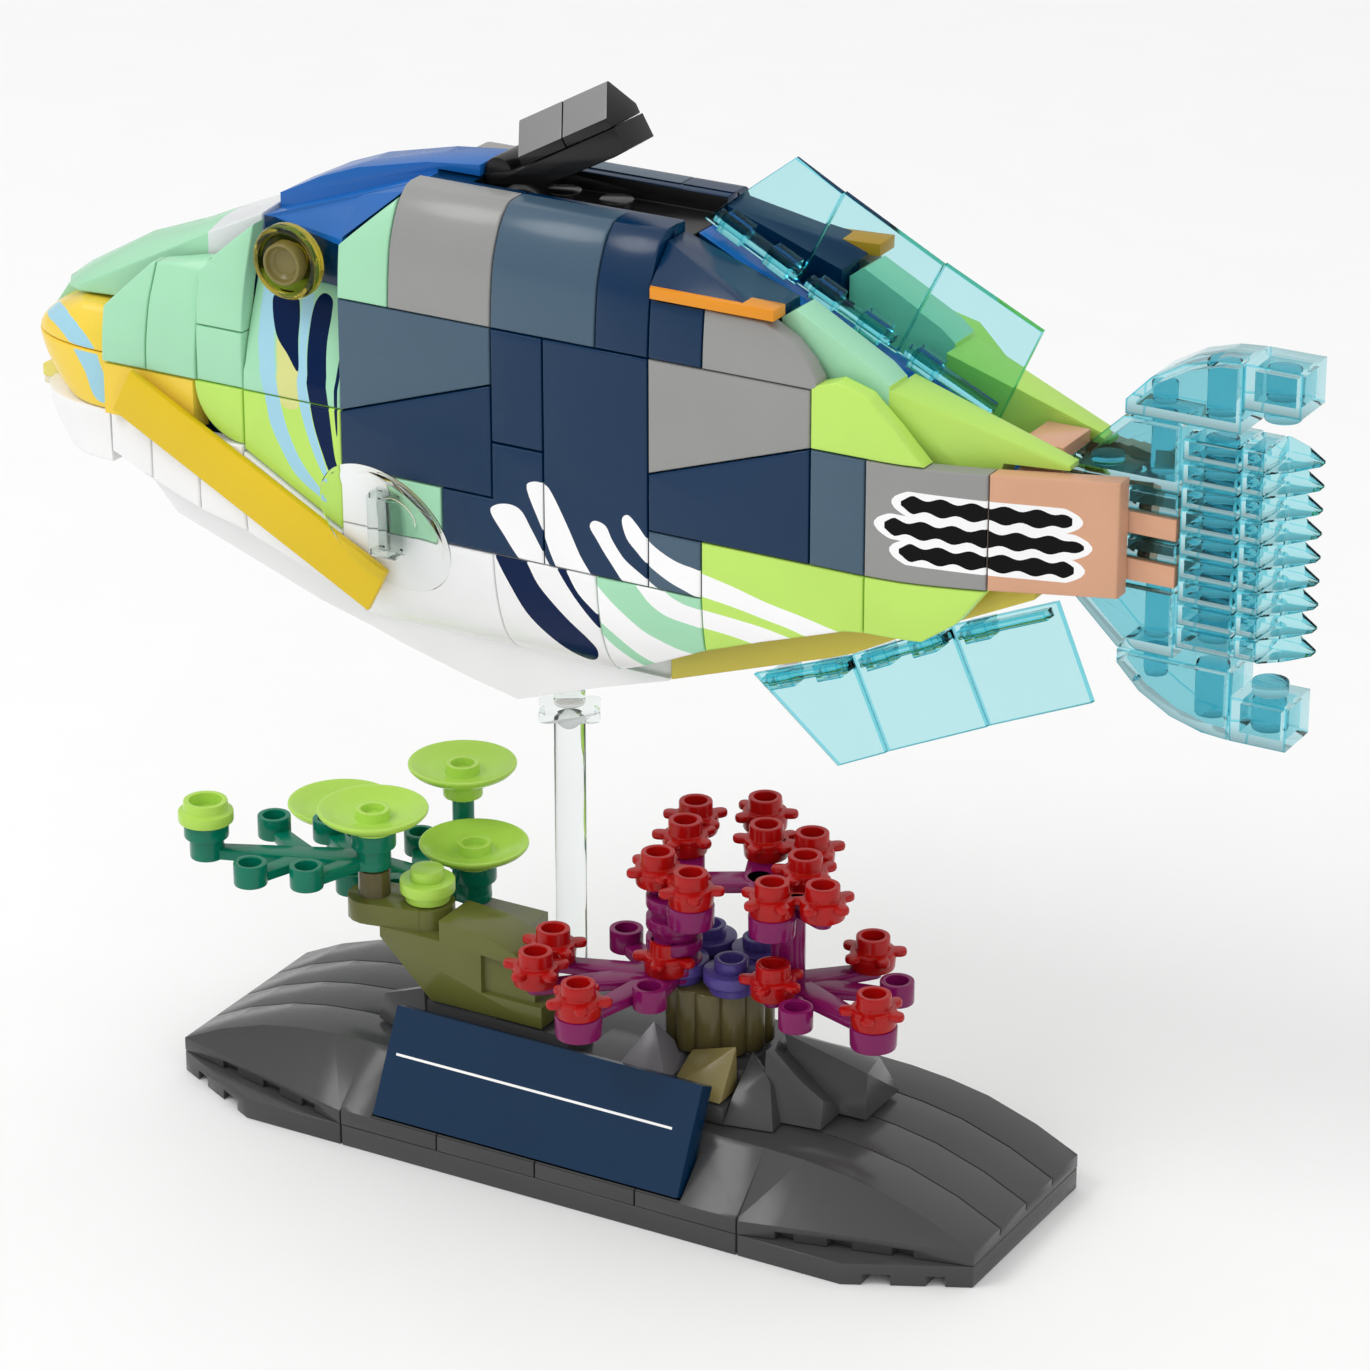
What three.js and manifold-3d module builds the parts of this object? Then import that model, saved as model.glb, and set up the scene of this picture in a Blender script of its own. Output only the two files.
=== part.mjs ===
// Brick-built picasso triggerfish on a clear rod over a rocky base with corals.
// Millimetres, +Z up. The origin is the middle of the base on the floor, the fish
// heads toward -X and its port side is -Y.
import * as THREE from 'three';
import { ConvexGeometry } from 'three/addons/geometries/ConvexGeometry.js';
import { mergeVertices } from 'three/addons/utils/BufferGeometryUtils.js';
import Module from 'manifold-3d';

const wasm = await Module();
wasm.setup();

// Brick module
const PITCH = 8;
const PLATE = 3.2;
const BRICK = 9.6;
const STUD_R = 2.4;
const STUD_H = 1.7;
const STUD_HOLE_R = 1.6;
const GAP = 0.3;
const SEAM = 0.3;
const SEAM_DEPTH = 0.5;

// Fish: a grid of stud lines and half-brick rows, measured from the body's seams
const SEAM_X = -10.2;
const MID_Z = 107.6;
const HALF_WIDTH = 16;
const PANEL = 2.9;
const SIDES = [['port', -1], ['starboard', 1]];
const col = (n) => SEAM_X + n * PITCH;
const row = (n) => MID_Z + n * PITCH;

// Base
const BASE_X = 64;
const BASE_Y = 24;
const DOME_Y = 16;
const LEDGE_Z = 5.6;
const DECK_Z = 12.8;
const ROD_X = -8;
const ROD_R = 2.4;

const COLOURS = {
  mint: 0xa9e0bb, lime: 0xb9e16a, yellow: 0xf5d14a, gold: 0xe3c53a, mustard: 0xb9ad4f,
  white: 0xf2f2f2, blue: 0x2767ae, navy: 0x2c425b, slate: 0x566778, grey: 0x989896,
  black: 0x2b2b2b, tan: 0xd8a585, aqua: 0x9fdce6, clear: 0xe6eef0, eye: 0x8c8128,
  dark: 0x505050, plaque: 0x0c3450, teal: 0x0f7a5f, olive: 0x6d6f3d, sand: 0x8a7f50,
  magenta: 0x8c1d75,
};

// Solids

function solid(geometry) {
  const bare = new THREE.BufferGeometry();
  bare.setAttribute('position', geometry.getAttribute('position'));
  if (geometry.index) bare.setIndex(geometry.index);
  const merged = mergeVertices(bare, 1e-4);
  const index = merged.index.array;
  const kept = [];
  for (let i = 0; i < index.length; i += 3) {
    const [a, b, c] = [index[i], index[i + 1], index[i + 2]];
    if (a !== b && b !== c && c !== a) kept.push(a, b, c);
  }
  const vertProperties = new Float32Array(merged.getAttribute('position').array);
  const build = (list) => new wasm.Manifold(
    new wasm.Mesh({ numProp: 3, vertProperties, triVerts: new Uint32Array(list) }));
  const body = build(kept);
  return body.volume() > 0 ? body : build(kept.reverse());
}

const join = (...bodies) => bodies.flat().reduce((sum, body) => sum.add(body));

const cut = (body, ...tools) => tools.flat().reduce((rest, tool) => rest.subtract(tool), body);

function outlineShape(points) {
  return new THREE.Shape(points.map(([a, b]) => new THREE.Vector2(a, b)));
}

// Prism of an outline drawn in two axes, long in the third from low to high.
function prism(points, low, high, axes) {
  const geometry = new THREE.ExtrudeGeometry(
    outlineShape(points), { depth: high - low, bevelEnabled: false });
  geometry.translate(0, 0, low);
  const turn = new THREE.Matrix4();
  if (axes === 'xz') turn.set(1, 0, 0, 0, 0, 0, 1, 0, 0, 1, 0, 0, 0, 0, 0, 1);
  if (axes === 'yz') turn.set(0, 0, 1, 0, 1, 0, 0, 0, 0, 1, 0, 0, 0, 0, 0, 1);
  geometry.applyMatrix4(turn);
  return solid(geometry);
}

const prismXZ = (points, y0, y1) => prism(points, Math.min(y0, y1), Math.max(y0, y1), 'xz');
const prismYZ = (points, x0, x1) => prism(points, x0, x1, 'yz');
const prismXY = (points, z0, z1) => prism(points, z0, z1, 'xy');

function block(x0, x1, y0, y1, z0, z1) {
  const geometry = new THREE.BoxGeometry(Math.abs(x1 - x0), Math.abs(y1 - y0), z1 - z0);
  geometry.translate((x0 + x1) / 2, (y0 + y1) / 2, (z0 + z1) / 2);
  return solid(geometry);
}

const hull = (points) => solid(new ConvexGeometry(points.map((p) => new THREE.Vector3(...p))));

// Turned piece on an upright axis; the profile is [radius, height] from the axis to the axis.
function turned(profile, [x, y, z], steps = 12) {
  const points = profile.map(([r, h]) => new THREE.Vector2(r, h));
  const geometry = new THREE.LatheGeometry(points, steps);
  geometry.rotateX(Math.PI / 2);
  geometry.translate(x, y, z);
  return solid(geometry);
}

// The same across the fish, growing outward on one side.
function turnedAcross(profile, x, z, side, steps = 20) {
  const points = profile.map(([r, h]) => new THREE.Vector2(r, h));
  const geometry = new THREE.LatheGeometry(points, steps);
  if (side < 0) geometry.rotateZ(Math.PI);
  geometry.translate(x, 0, z);
  return solid(geometry);
}

const drum = (r, h, at, steps) => turned([[0, 0], [r, 0], [r, h], [0, h]], at, steps);

const cup = (r, hole, h, depth, at, steps) => turned(
  [[0, 0], [r, 0], [r, h], [hole, h], [hole, h - depth], [0, h - depth]], at, steps);

// Outlines

function sub([ax, ay], [bx, by]) {
  return [ax - bx, ay - by];
}

function leftNormal(a, b) {
  const [dx, dy] = sub(b, a);
  const length = Math.hypot(dx, dy);
  return [-dy / length, dx / length];
}

function mitre(point, n1, n2, d) {
  const k = 1 + n1[0] * n2[0] + n1[1] * n2[1];
  return [point[0] + (d * (n1[0] + n2[0])) / k, point[1] + (d * (n1[1] + n2[1])) / k];
}

// Closed outline made smaller by d on every edge.
function inset(points, d) {
  const vectors = points.map(([a, b]) => new THREE.Vector2(a, b));
  const ring = THREE.ShapeUtils.area(vectors) < 0 ? [...points].reverse() : points;
  const n = ring.length;
  return ring.map((p, i) => {
    const before = ring[(i + n - 1) % n];
    const after = ring[(i + 1) % n];
    return mitre(p, leftNormal(before, p), leftNormal(p, after), d);
  });
}

// Open line moved to its left by d.
function beside(line, d) {
  return line.map((p, i) => {
    const before = i > 0 ? leftNormal(line[i - 1], p) : leftNormal(p, line[i + 1]);
    const after = i < line.length - 1 ? leftNormal(p, line[i + 1]) : before;
    return mitre(p, before, after, d);
  });
}

const mirrored = (line) => line.map(([y, z]) => [-y, z]).reverse();

const arc = (cx, cz, r, from, to, steps) => Array.from({ length: steps + 1 }, (_, i) => {
  const t = THREE.MathUtils.degToRad(from + ((to - from) * i) / steps);
  return [cx + r * Math.cos(t), cz + r * Math.sin(t)];
});

// Body form: [Y, Z] of the side from keel to back, and [X, Y] of the plan from tail to snout
const SIDE_LINE = [
  [9.6, row(-4)], [12.6, row(-4) + 3], [14.6, row(-3) - 0.6], [15.6, row(-3) + 3.8],
  [HALF_WIDTH, row(-2)], [HALF_WIDTH, row(2)], [15.7, row(2) + 4.6], [15, row(3) + 1.2],
  [13.2, row(4) - 2.6], [11.2, row(4) - 0.4], [9.6, row(4)],
];
const CHEEK_LINE = [
  [15.7, row(-2)], [15.7, MID_Z], [15.6, MID_Z + 3.4], [15.2, MID_Z + 6.2],
  [14.4, MID_Z + 9.7], [12, MID_Z + 14.9], [9.4, MID_Z + 18],
];
const NAPE_LINE = [
  [15.5, row(-2)], [15.4, MID_Z], [15.3, row(1) - 1], [14.3, row(2) - 2],
  [11.8, row(3) - 2.4], [11.2, row(3) - 0.4],
];
const GILL_LINE = [
  [15.6, row(-3)], [15.6, MID_Z], [14.9, MID_Z + 4], [13.7, row(1) + 0.2],
  [11.2, row(2) - 1], [10.8, row(2) + 0.4],
];
const REAR_PLAN = [
  [78, 6.9], [73, 8.7], [68, 10.5], [61.8, 12.8], [56, 14.5], [51, 15.6], [45.8, HALF_WIDTH],
  [col(-5), HALF_WIDTH],
];
const PLAN_LINE = [...REAR_PLAN, [col(-6), 15.9], [col(-7), 15.1], [-70, 14.4], [-74.5, 13.2]];
const CHEEK_PLAN = [...REAR_PLAN, [-74.5, HALF_WIDTH]];
const FAR = 40;

function formOf(sideLine, depth, openEnds, planLine = PLAN_LINE) {
  const side = depth ? beside(sideLine, depth) : [...sideLine];
  if (openEnds) {
    side.unshift([side[0][0], side[0][1] - FAR]);
    side.push([side[side.length - 1][0], side[side.length - 1][1] + FAR]);
  }
  const plan = depth ? beside(planLine, depth) : [...planLine];
  if (depth) {
    plan.unshift([plan[0][0] + FAR, plan[0][1]]);
    plan.push([plan[plan.length - 1][0] - FAR, plan[plan.length - 1][1]]);
  }
  const section = prismYZ([...side, ...mirrored(side)], -90, 90);
  const flat = plan.map(([x, y]) => [x, -y]).reverse();
  return section.intersect(prismXY([...plan, ...flat], row(-5), row(5)));
}

const shellOf = (line, plan) => formOf(line, 0, false, plan).subtract(
  formOf(line, PANEL, true, plan));

const BODY_SHELL = shellOf(SIDE_LINE);
const CHEEK_SHELL = shellOf(CHEEK_LINE, CHEEK_PLAN);
const NAPE_SHELL = shellOf(NAPE_LINE);
const GILL_SHELL = shellOf(GILL_LINE);
const GROOVES = formOf(SIDE_LINE, SEAM_DEPTH, true);

// One side panel: an outline in X and Z, cut from a shell, with seams sunk in its face.
function panel(side, outline, shell = BODY_SHELL, seams = [], fromY = 1) {
  const form = prismXZ(inset(outline, GAP / 2), side * fromY, side * 20);
  return cut(form.intersect(shell), seams.map((seam) => seamTool(seam, side)));
}

function seamTool([[x0, z0], [x1, z1]], side) {
  const half = beside([[x0, z0], [x1, z1]], SEAM / 2);
  const other = beside([[x0, z0], [x1, z1]], -SEAM / 2).reverse();
  return prismXZ([...half, ...other], side * 1, side * 20).subtract(GROOVES);
}

// Side panels of the fish, each [name, colour, builder of one side]
const FIN_BASE_X = 13;
const FIN_BASE_Z = 138;
const FIN_SLOPE = 0.4817;
const finBase = (x) => FIN_BASE_Z - FIN_SLOPE * (x - FIN_BASE_X);

const CREST_HALF = 7.9;
const CREASE = [[-73.6, row(1) - 0.1], [-67.1, row(2) - 1.5], [col(-6) + 0.4, row(2) + 0.3]];

function cheek(side) {
  const inner = CREST_HALF + GAP;
  const front = panel(side, [
    [CREASE[0][0], MID_Z], [col(-6) + 0.4, MID_Z], ...[...CREASE].reverse(),
  ], CHEEK_SHELL, [], inner);
  const rear = panel(side, [
    [col(-6), MID_Z], [col(-5), MID_Z], [col(-5), row(3) - 1.2], [col(-6), row(2) - 0.9],
  ], NAPE_SHELL, [], inner);
  return join(front, rear);
}

function gill(side) {
  const quarter = arc(col(-5), MID_Z, PITCH, 180, 270, 6);
  return panel(side, [
    ...quarter, [col(-5), row(-1)], [col(-3), row(-1) - 4.6], [col(-3), row(2)],
    [col(-5), row(2)], [col(-5), MID_Z + 0.3], [col(-6), MID_Z + 0.3],
  ].filter((p, i) => i !== quarter.length), GILL_SHELL);
}

const PANELS = {
  cheek: ['mint', cheek],
  gill_panel: ['mint', gill],
  shoulder: ['mint', (side) => panel(side, [
    [col(-3), row(2)], [col(-2), row(2)], [col(-2), row(4) - 1.5], [col(-3), row(3) - 0.7],
  ])],
  back_row: ['slate', (side) => panel(side, [
    [col(-2), row(2)], [col(4), row(2)], [col(4), row(3)], [col(3), row(3)],
    [col(3), row(4) + 0.5], [col(-2), row(4) + 0.5],
  ], BODY_SHELL, [0, 2, 3].map((n) => [[col(n), row(2)], [col(n), row(5)]]))],
  flank_slate: ['slate', (side) => panel(side, [
    [col(-3), row(0)], [col(0), row(1)], [col(0), row(2)], [col(-3), row(2)],
  ])],
  flank_navy: ['navy', (side) => panel(side, [
    [col(-3), row(0)], [col(-3), row(-1)], [col(-1), row(-1)], [col(-1), row(-2)],
    [col(3), row(-2)], [col(3), row(2)], [col(0), row(2)], [col(0), row(1)],
  ], BODY_SHELL, [
    [[col(-1), row(2)], [col(-1), row(-2)]], [[col(0), row(1)], [col(0), row(-1)]],
    [[col(0), row(0)], [col(-1), row(0)]],
  ].map((seam, i) => (i === 0 ? seam.map(([, z]) => [col(1), z]) : seam)))],
  rear_grey: ['grey', (side) => panel(side, [
    [col(4), row(3)], [col(4), row(2)], [col(3), row(2)], [col(3), row(0)],
    [col(6), row(1)], [col(6), row(2)], [col(6) + 0.8, row(2) + 1.6], [31, row(3) - 0.3],
  ])],
  rear_navy: ['navy', (side) => panel(side, [
    [col(3), row(0)], [col(3), row(-2)], [col(4), row(-2)], [col(4), row(-1)],
    [col(7), row(-1)], [col(7), row(1)], [col(6), row(1)],
  ], BODY_SHELL, [
    [[col(6), row(1)], [col(6), row(-1)]], [[col(3), row(-1)], [col(4), row(-1)]],
  ])],
  lime_lower: ['lime', (side) => panel(side, [
    [col(4), row(-1)], [col(4), row(-3)], [col(7) - 2.8, row(-2)], [col(8), row(-2)],
    [col(9), row(-1)],
  ], BODY_SHELL, [[[col(7), row(-1)], [col(7), row(-2)]]])],
  lime_upper: ['lime', (side) => panel(side, [
    [col(6), row(1)], [col(8) - 1, row(1)], [col(8) - 1, row(1) + 1.6], [46, row(2) + 0.8],
    [col(6) + 1.6, row(2) + 1.4], [col(6), row(2) - 0.2],
  ])],
  tail_grey: ['grey', (side) => panel(side, [
    [col(7), row(-1)], [col(9), row(-1)], [col(9), row(1)], [col(7), row(1)],
  ])],
  tail_tan: ['tan', (side) => panel(side, [
    [col(9), row(-1)], [77.6, row(-1)], [77.6, row(1)], [col(9), row(1)],
  ])],
  belly_mint: ['mint', (side) => panel(side, [
    [col(2), row(-2)], [col(2), row(-4)], [col(4), row(-3)], [col(4), row(-2)],
  ])],
  belly_white: ['white', (side) => panel(side, [
    [col(-8), row(-1)], [col(-8), 93.4], [-71.7, 92.9], [-61.3, 89.8], [-48.2, 85.7],
    [col(-3), 79.5], [col(-3), row(-4)], [col(2), row(-4)], [col(2), row(-2)],
    [col(-1), row(-2)], [col(-1), row(-1)], [col(-3), row(-1)], [col(-3), row(-1) - 4.6],
    [col(-5), row(-1)],
  ], BODY_SHELL, [
    [[col(-3), row(-2)], [col(-3), row(-4)]], [[col(0), row(-2)], [col(0), row(-4)]],
    [[col(-2), row(-1)], [col(-2), row(-2)]], [[col(-3), row(-2)], [col(-1), row(-2)]],
    [[col(-5), row(-1)], [col(-5), row(-3)]], [[col(-6) + 0.5, row(-1)], [col(-6), row(-3)]],
    [[col(-7), row(-1)], [col(-7), row(-3)]],
  ])],
};

// Yellow stripe: a long tile laid over the side from the mouth down to the pectoral fin
const STRIPE = { x: -48.6, z: 93.8, length: 46.6, width: 7, turn: 27.6, y0: 16.3, y1: 17.4 };

function stripe(side) {
  const { x, z, length, width, turn, y0, y1 } = STRIPE;
  const geometry = new THREE.BoxGeometry(length, y1 - y0, width);
  geometry.rotateY(THREE.MathUtils.degToRad(turn));
  geometry.translate(x, (side * (y0 + y1)) / 2, z);
  return solid(geometry);
}

// Clear pectoral fin: a shallow dish on a clip, its rim leaning out and a little forward
const DISC = { x: -22.1, y: 24, z: 95.7, r: 10.7, deep: 3, wall: 0.9, tilt: 20, yaw: 6 };
const CLIP = { x0: -27.5, x1: -23.4, z0: 89.2, z1: 98.7 };

function pectoral(side) {
  const { x, y, z, r, deep, wall, tilt, yaw } = DISC;
  const profile = [
    [0, -deep], [3.2, -deep], [r - 3, -deep * 0.6], [r - 0.4, -wall], [r, -0.3], [r - 0.5, 0],
    [r - 3.2, wall - deep * 0.6], [3.1, wall - deep], [0, wall - deep],
  ];
  const points = profile.map(([a, h]) => new THREE.Vector2(a, h));
  const dish = new THREE.LatheGeometry(points, 20);
  if (side < 0) dish.rotateZ(Math.PI);
  dish.rotateX(THREE.MathUtils.degToRad(-side * tilt));
  dish.rotateZ(THREE.MathUtils.degToRad(side * yaw));
  dish.translate(x, side * y, z);
  const clip = block(CLIP.x0, CLIP.x1, side * (HALF_WIDTH + GAP), side * 20, CLIP.z0, CLIP.z1);
  const neck = block(CLIP.x0 + 1, CLIP.x1 + 2, side * 19.5, side * 21.3, 95.4, 98.2);
  return join(solid(dish), clip, neck);
}

// Eye: ring, inner step and stud on a short neck
const EYE = { x: -42.2, z: 127.4, r: 5.3, neck: 2.4, from: 12.2, base: 13.5, face: 16.5 };

function eye(side) {
  const profile = [
    [0, EYE.from], [EYE.neck, EYE.from], [EYE.neck, EYE.base], [EYE.r, EYE.base],
    [EYE.r, EYE.face - 0.8], [EYE.r - 0.6, EYE.face], [3.9, EYE.face], [3.9, EYE.face - 0.7],
    [STUD_R, EYE.face - 0.7], [STUD_R, EYE.face + 0.9], [0, EYE.face + 0.9],
  ];
  return turnedAcross(profile, EYE.x, EYE.z, side, 18);
}

// Core that the panels sit on
const CORE_BELLY = [
  [-74.3, 94.2], [-61.3, 90.7], [-48.2, 86.6], [col(-3), 78.2], [5.8, 78.2], [12.5, 79.8],
  [col(4), 83.9], [36, 89.6], [45, 93.6], [54, 97.6], [61.4, 100.2],
];
const coreTop = (x) => finBase(x) - 7.2;

function core() {
  const inner = formOf(SIDE_LINE, PANEL + GAP, false);
  const top = [[61.4, coreTop(61.4)], [13.65, coreTop(13.65)], [13.65, 133.9], [-25.3, 133.9]];
  const trunk = prismXZ([...CORE_BELLY.slice(2), ...top, [-34.2, 130.1], [-34.2, 123.7],
    [-48.2, 123.7]], -FAR, FAR).intersect(inner);
  const headForm = formOf([
    [11.9, 86], [11.9, MID_Z], [11.3, 111], [9.9, row(1)], [7.4, 120.5], [7.4, 134],
  ], 0, false).intersect(formOf(SIDE_LINE, PANEL + GAP, false));
  const head = prismXZ([
    ...CORE_BELLY.slice(0, 4), [-34.9, 123.7], [-50.4, 123.7], [-50.9, 125.6], [-62, 120.5],
    [-74.3, 113.3],
  ], -FAR, FAR).intersect(headForm);
  const mouth = [-1, 1].map((side) => prismXZ([
    [CREASE[0][0], row(-1) + 0.3], [col(-6) - 0.4, row(-1) + 0.3], [col(-6) - 0.4, MID_Z - 0.3],
    [CREASE[0][0], MID_Z - 0.3],
  ], side * 11, side * 15.3));
  const shy = [-1, 1].map((side) => prismXZ([
    [-49, row(-3)], [-34.35, row(-3)], [-34.35, 130.2], [-49, 130.2],
  ], side * 11.6, side * 20));
  const gillSpace = [-1, 1].map((side) => prismXZ([
    [-50.6, 110], [-34.35, 110], [-34.35, 131], [-50.6, 131],
  ], side * 7.6, side * 20));
  return join(cut(trunk, shy, gillSpace), cut(head, gillSpace), mouth);
}

function keel() {
  const low = [
    [12.4, 74.9], [1.2, 71.5], [-11.4, 67.1], [-18.6, 68.6], [-29.8, 71.5], [-35.2, 73.2],
    [-43.2, 75.3], [-53.5, 79.1], [-67.1, 83.8], [-74.2, 91.4],
  ];
  const under = beside(CORE_BELLY, -GAP);
  const outline = [[-74.2, under[0][1]], ...under.slice(1, 5), [12.4, under[5][1]], ...low];
  const lower = prismXZ(outline, -PITCH, PITCH);
  const wide = [-1, 1].map((side) => prismXZ([
    [-36, 74], [14, 74], [14, 90], [-36, 90],
  ].map(([x, z]) => [x, z + 1.3]), side * 7, side * 20));
  const step = prismXZ([
    [-74.2, under[0][1] - 0.2], [-61.3, under[1][1]], [-48.2, under[2][1]], [-38, under[3][1] + 2],
    [-38, under[3][1] - 1.6], [-48.2, under[2][1] - 4], [-61.3, under[1][1] - 4],
    [-74.2, under[0][1] - 2.4],
  ], -11, 11).intersect(formOf(SIDE_LINE, PANEL + GAP, false));
  return join(cut(lower, wide), step);
}

function bellyMustard() {
  const under = beside(CORE_BELLY, -GAP);
  return prismXZ([
    [12.7, 75.1], [36.7, 83.3], [40.3, 84.7], [47.2, 88.4], [54.1, 91.6], [66.5, 97.7],
    [66.5, 99.3], [62, 99.3], ...under.slice(6, 10).reverse(), [12.7, under[5][1]],
  ], -PITCH, PITCH);
}

const SNOUT = { x: -74, ry: 12.8, back: -74.55, square: 0.8 };
const SNOUT_REACH = [
  [99.75, 12.6], [100.8, 14], [102.4, 15.5], [104.2, 16.8], [106, 17.6], [MID_Z, 18],
  [109, 17.1], [110.4, 15.3], [111.6, 13.4], [112.8, 10.9], [113.6, 8.8],
];
const JAW_REACH = [[row(-2), 12], [92.8, 13.4], [94.5, 14.8], [97, 16.2], [99.45, 16.8]];

// Nose rounded in plan, its reach forward changing from level to level
function rounded(levels) {
  const { x, ry, square } = SNOUT;
  const ring = ([z, reach]) => [...arc(0, 0, 1, 90, 270, 14), [0, 1], [0, -1]].map(([a, b], i) => [
    i > 14 ? x + 1 : x - reach * Math.abs(a) ** square,
    Math.sign(b) * ry * Math.abs(b) ** square, z,
  ]);
  const layers = levels.slice(1).map((level, i) => hull([...ring(levels[i]), ...ring(level)]));
  return join(layers).intersect(block(-FAR * 3, SNOUT.back, -FAR, FAR, 80, 120));
}

function snout() {
  const side = [[SNOUT.ry, 99], [SNOUT.ry, MID_Z], [12.2, 110.5], [10.8, 113], [9.4, 114.6]];
  const section = prismYZ([...side, ...mirrored(side)], -100, -70);
  return rounded(SNOUT_REACH).intersect(section);
}

// Jaw: a rounded brick with the lower teeth standing on its front
function jaw() {
  const teeth = block(-92.4, -88.2, -PITCH / 2, PITCH / 2, 97.3, 100.4);
  return join(rounded(JAW_REACH), teeth);
}

// Crest: a crowned arch down the middle, its walls standing between the cheeks
const CREST_EDGE = [
  [-82.6, 115, 2.4], [-75, 118.8, 3], [-66, 123.3, 1.8], [-60.3, 126.3, 1.4],
  [-51.2, 130.6, 0.4],
];

function crest() {
  const sole = (x) => Math.max(113.95, 126 + (x + 51.2) * 0.49);
  const station = ([x, z, crown]) => [[-1, 0], [-0.5, 0.75], [0, 1], [0.5, 0.75], [1, 0]]
    .flatMap(([k, lift]) => [[x, k * CREST_HALF, z + lift * crown], [x, k * CREST_HALF, sole(x)]]);
  const spans = CREST_EDGE.slice(1).map((edge, i) => hull([
    ...station(CREST_EDGE[i]), ...station(edge)]));
  const nose = hull([...station(CREST_EDGE[0]), [-87.6, 3, 113.95], [-87.6, -3, 113.95],
    [-85.4, -6.4, 113.95], [-85.4, 6.4, 113.95], [-85.6, 0, 115.8]]);
  return join(spans, nose);
}

function brow() {
  const arch = prismXZ([
    [-50.8, 130], [-50.8, 132.4], [-44.2, 135.7], [-38.1, 138], [-31.3, 139.6], [-27.1, 140.5],
    [-18.7, 141.4], [-18.7, 139.8], [-25.3, 139.8], [-25.3, 136],
  ], -PITCH / 2, PITCH / 2);
  const ridge = prismXZ([
    [-50.8, 126.2], [-50.8, 130.3], [-25.3, 139.3], [-25.3, 134.2], [-34.5, 130.4], [-34.5, 124.1],
    [-50.2, 124.1],
  ], -PITCH, PITCH);
  const wings = SIDES.map(([, side]) => [
    hull([
      [-50.2, side * 7.5, 130.3], [-34.5, side * 7.5, 136], [-34.5, side * 13.8, 131.2],
      [-34.5, side * 13.4, 124.1], [-50.2, side * 7.5, 124.1], [-34.5, side * 7.5, 124.1],
      [-47, side * 9.6, 124.1],
    ]),
    hull([
      [-36, side * 7.5, 135.4], [-25.5, side * 7.5, 139.2], [-34.6, side * 13.7, 131.4],
      [-26.3, side * 11, 138.5], [-34.6, side * 7.5, 131.4], [-26.3, side * 7.5, 138.5],
    ]),
  ]).flat();
  return join(arch, ridge, wings);
}

function deck() {
  const plate = block(-25, 13.65, -8.4, 8.4, 134.2, 139.5);
  const channel = block(-18.9, 14, -5.6, 5.6, 136.9, 141);
  const studs = [0, 1].map((i) => drum(STUD_R, STUD_H + 0.1, [ROD_X + i * PITCH, 0, 136.8]));
  const slots = SIDES.map(([, s]) => block(-10.35, -10.05, s * 5, s * 9, 139, 141));
  return join(cut(plate, channel, slots), studs);
}

function ridge() {
  const slab = prismXZ([
    [13.95, finBase(13.95) - 6.9], [30.9, finBase(30.9) - 6.9], [30.9, finBase(30.9) - 3.9],
    [13.95, finBase(13.95) - 3.9],
  ], -11, 11);
  const rail = prismXZ([
    [13.95, finBase(13.95) - 5], [30.9, finBase(30.9) - 5], [30.9, finBase(30.9) - 0.6],
    [13.95, finBase(13.95) - 0.6],
  ], -2.6, 2.6);
  const side = [[6, 126], [6, 139.2], [9.6, 139.2], [15.4, 133.5], [15.4, 131.9], [10.8, 131.9],
    [10.8, 126]];
  const slopes = SIDES.map(([, s]) => {
    const ring = side.map(([y, z]) => [s * y, z]);
    const sweep = prismYZ(ring, 13.95, 30.9);
    const profile = prismXZ([
      [13.95, finBase(13.95) - 6], [30.9, finBase(30.9) - 6], [30.9, 132.2], [13.95, 138.2],
    ], -FAR, FAR);
    return sweep.intersect(profile);
  });
  const bars = SIDES.map(([, s]) => block(14.2, 32.4, s * 12.8, s * 16, 131.9, 133.4));
  return join(slab, rail, slopes, bars);
}

function finBed() {
  const x0 = 31.2;
  const x1 = 60.6;
  const slab = prismXZ([
    [x0, finBase(x0) - 6.9], [x1, finBase(x1) - 6.9], [x1, finBase(x1) - 3.9],
    [x0, finBase(x0) - 3.9],
  ], -9.4, 9.4);
  const rail = prismXZ([
    [x0, finBase(x0) - 5], [57, finBase(57) - 5], [57, finBase(57) - 0.6],
    [x0, finBase(x0) - 0.6],
  ], -2.6, 2.6);
  const mint = SIDES.map(([, s]) => prismXZ([
    [31.5, finBase(31.5) - 6], [31.5, 131.2], [33.5, 132.5], [45.2, 126.1], [47.1, 124.5],
    [47.1, finBase(47.1) - 6],
  ], s * 7, s * 12));
  const lime = SIDES.map(([, s]) => prismXZ([
    [47, finBase(47) - 6], [47, 124], [70.5, 116.6], [70.5, 115.9], [62, 115.9],
    [x1, finBase(x1) - 5],
  ], s * 4.6, s * 12).intersect(prismXY([
    [46, 0], [70.6, 0], [70.6, s * 7.2], [46, s * 12.2],
  ], 90, 130)));
  return join(slab, rail, mint, lime);
}

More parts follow.
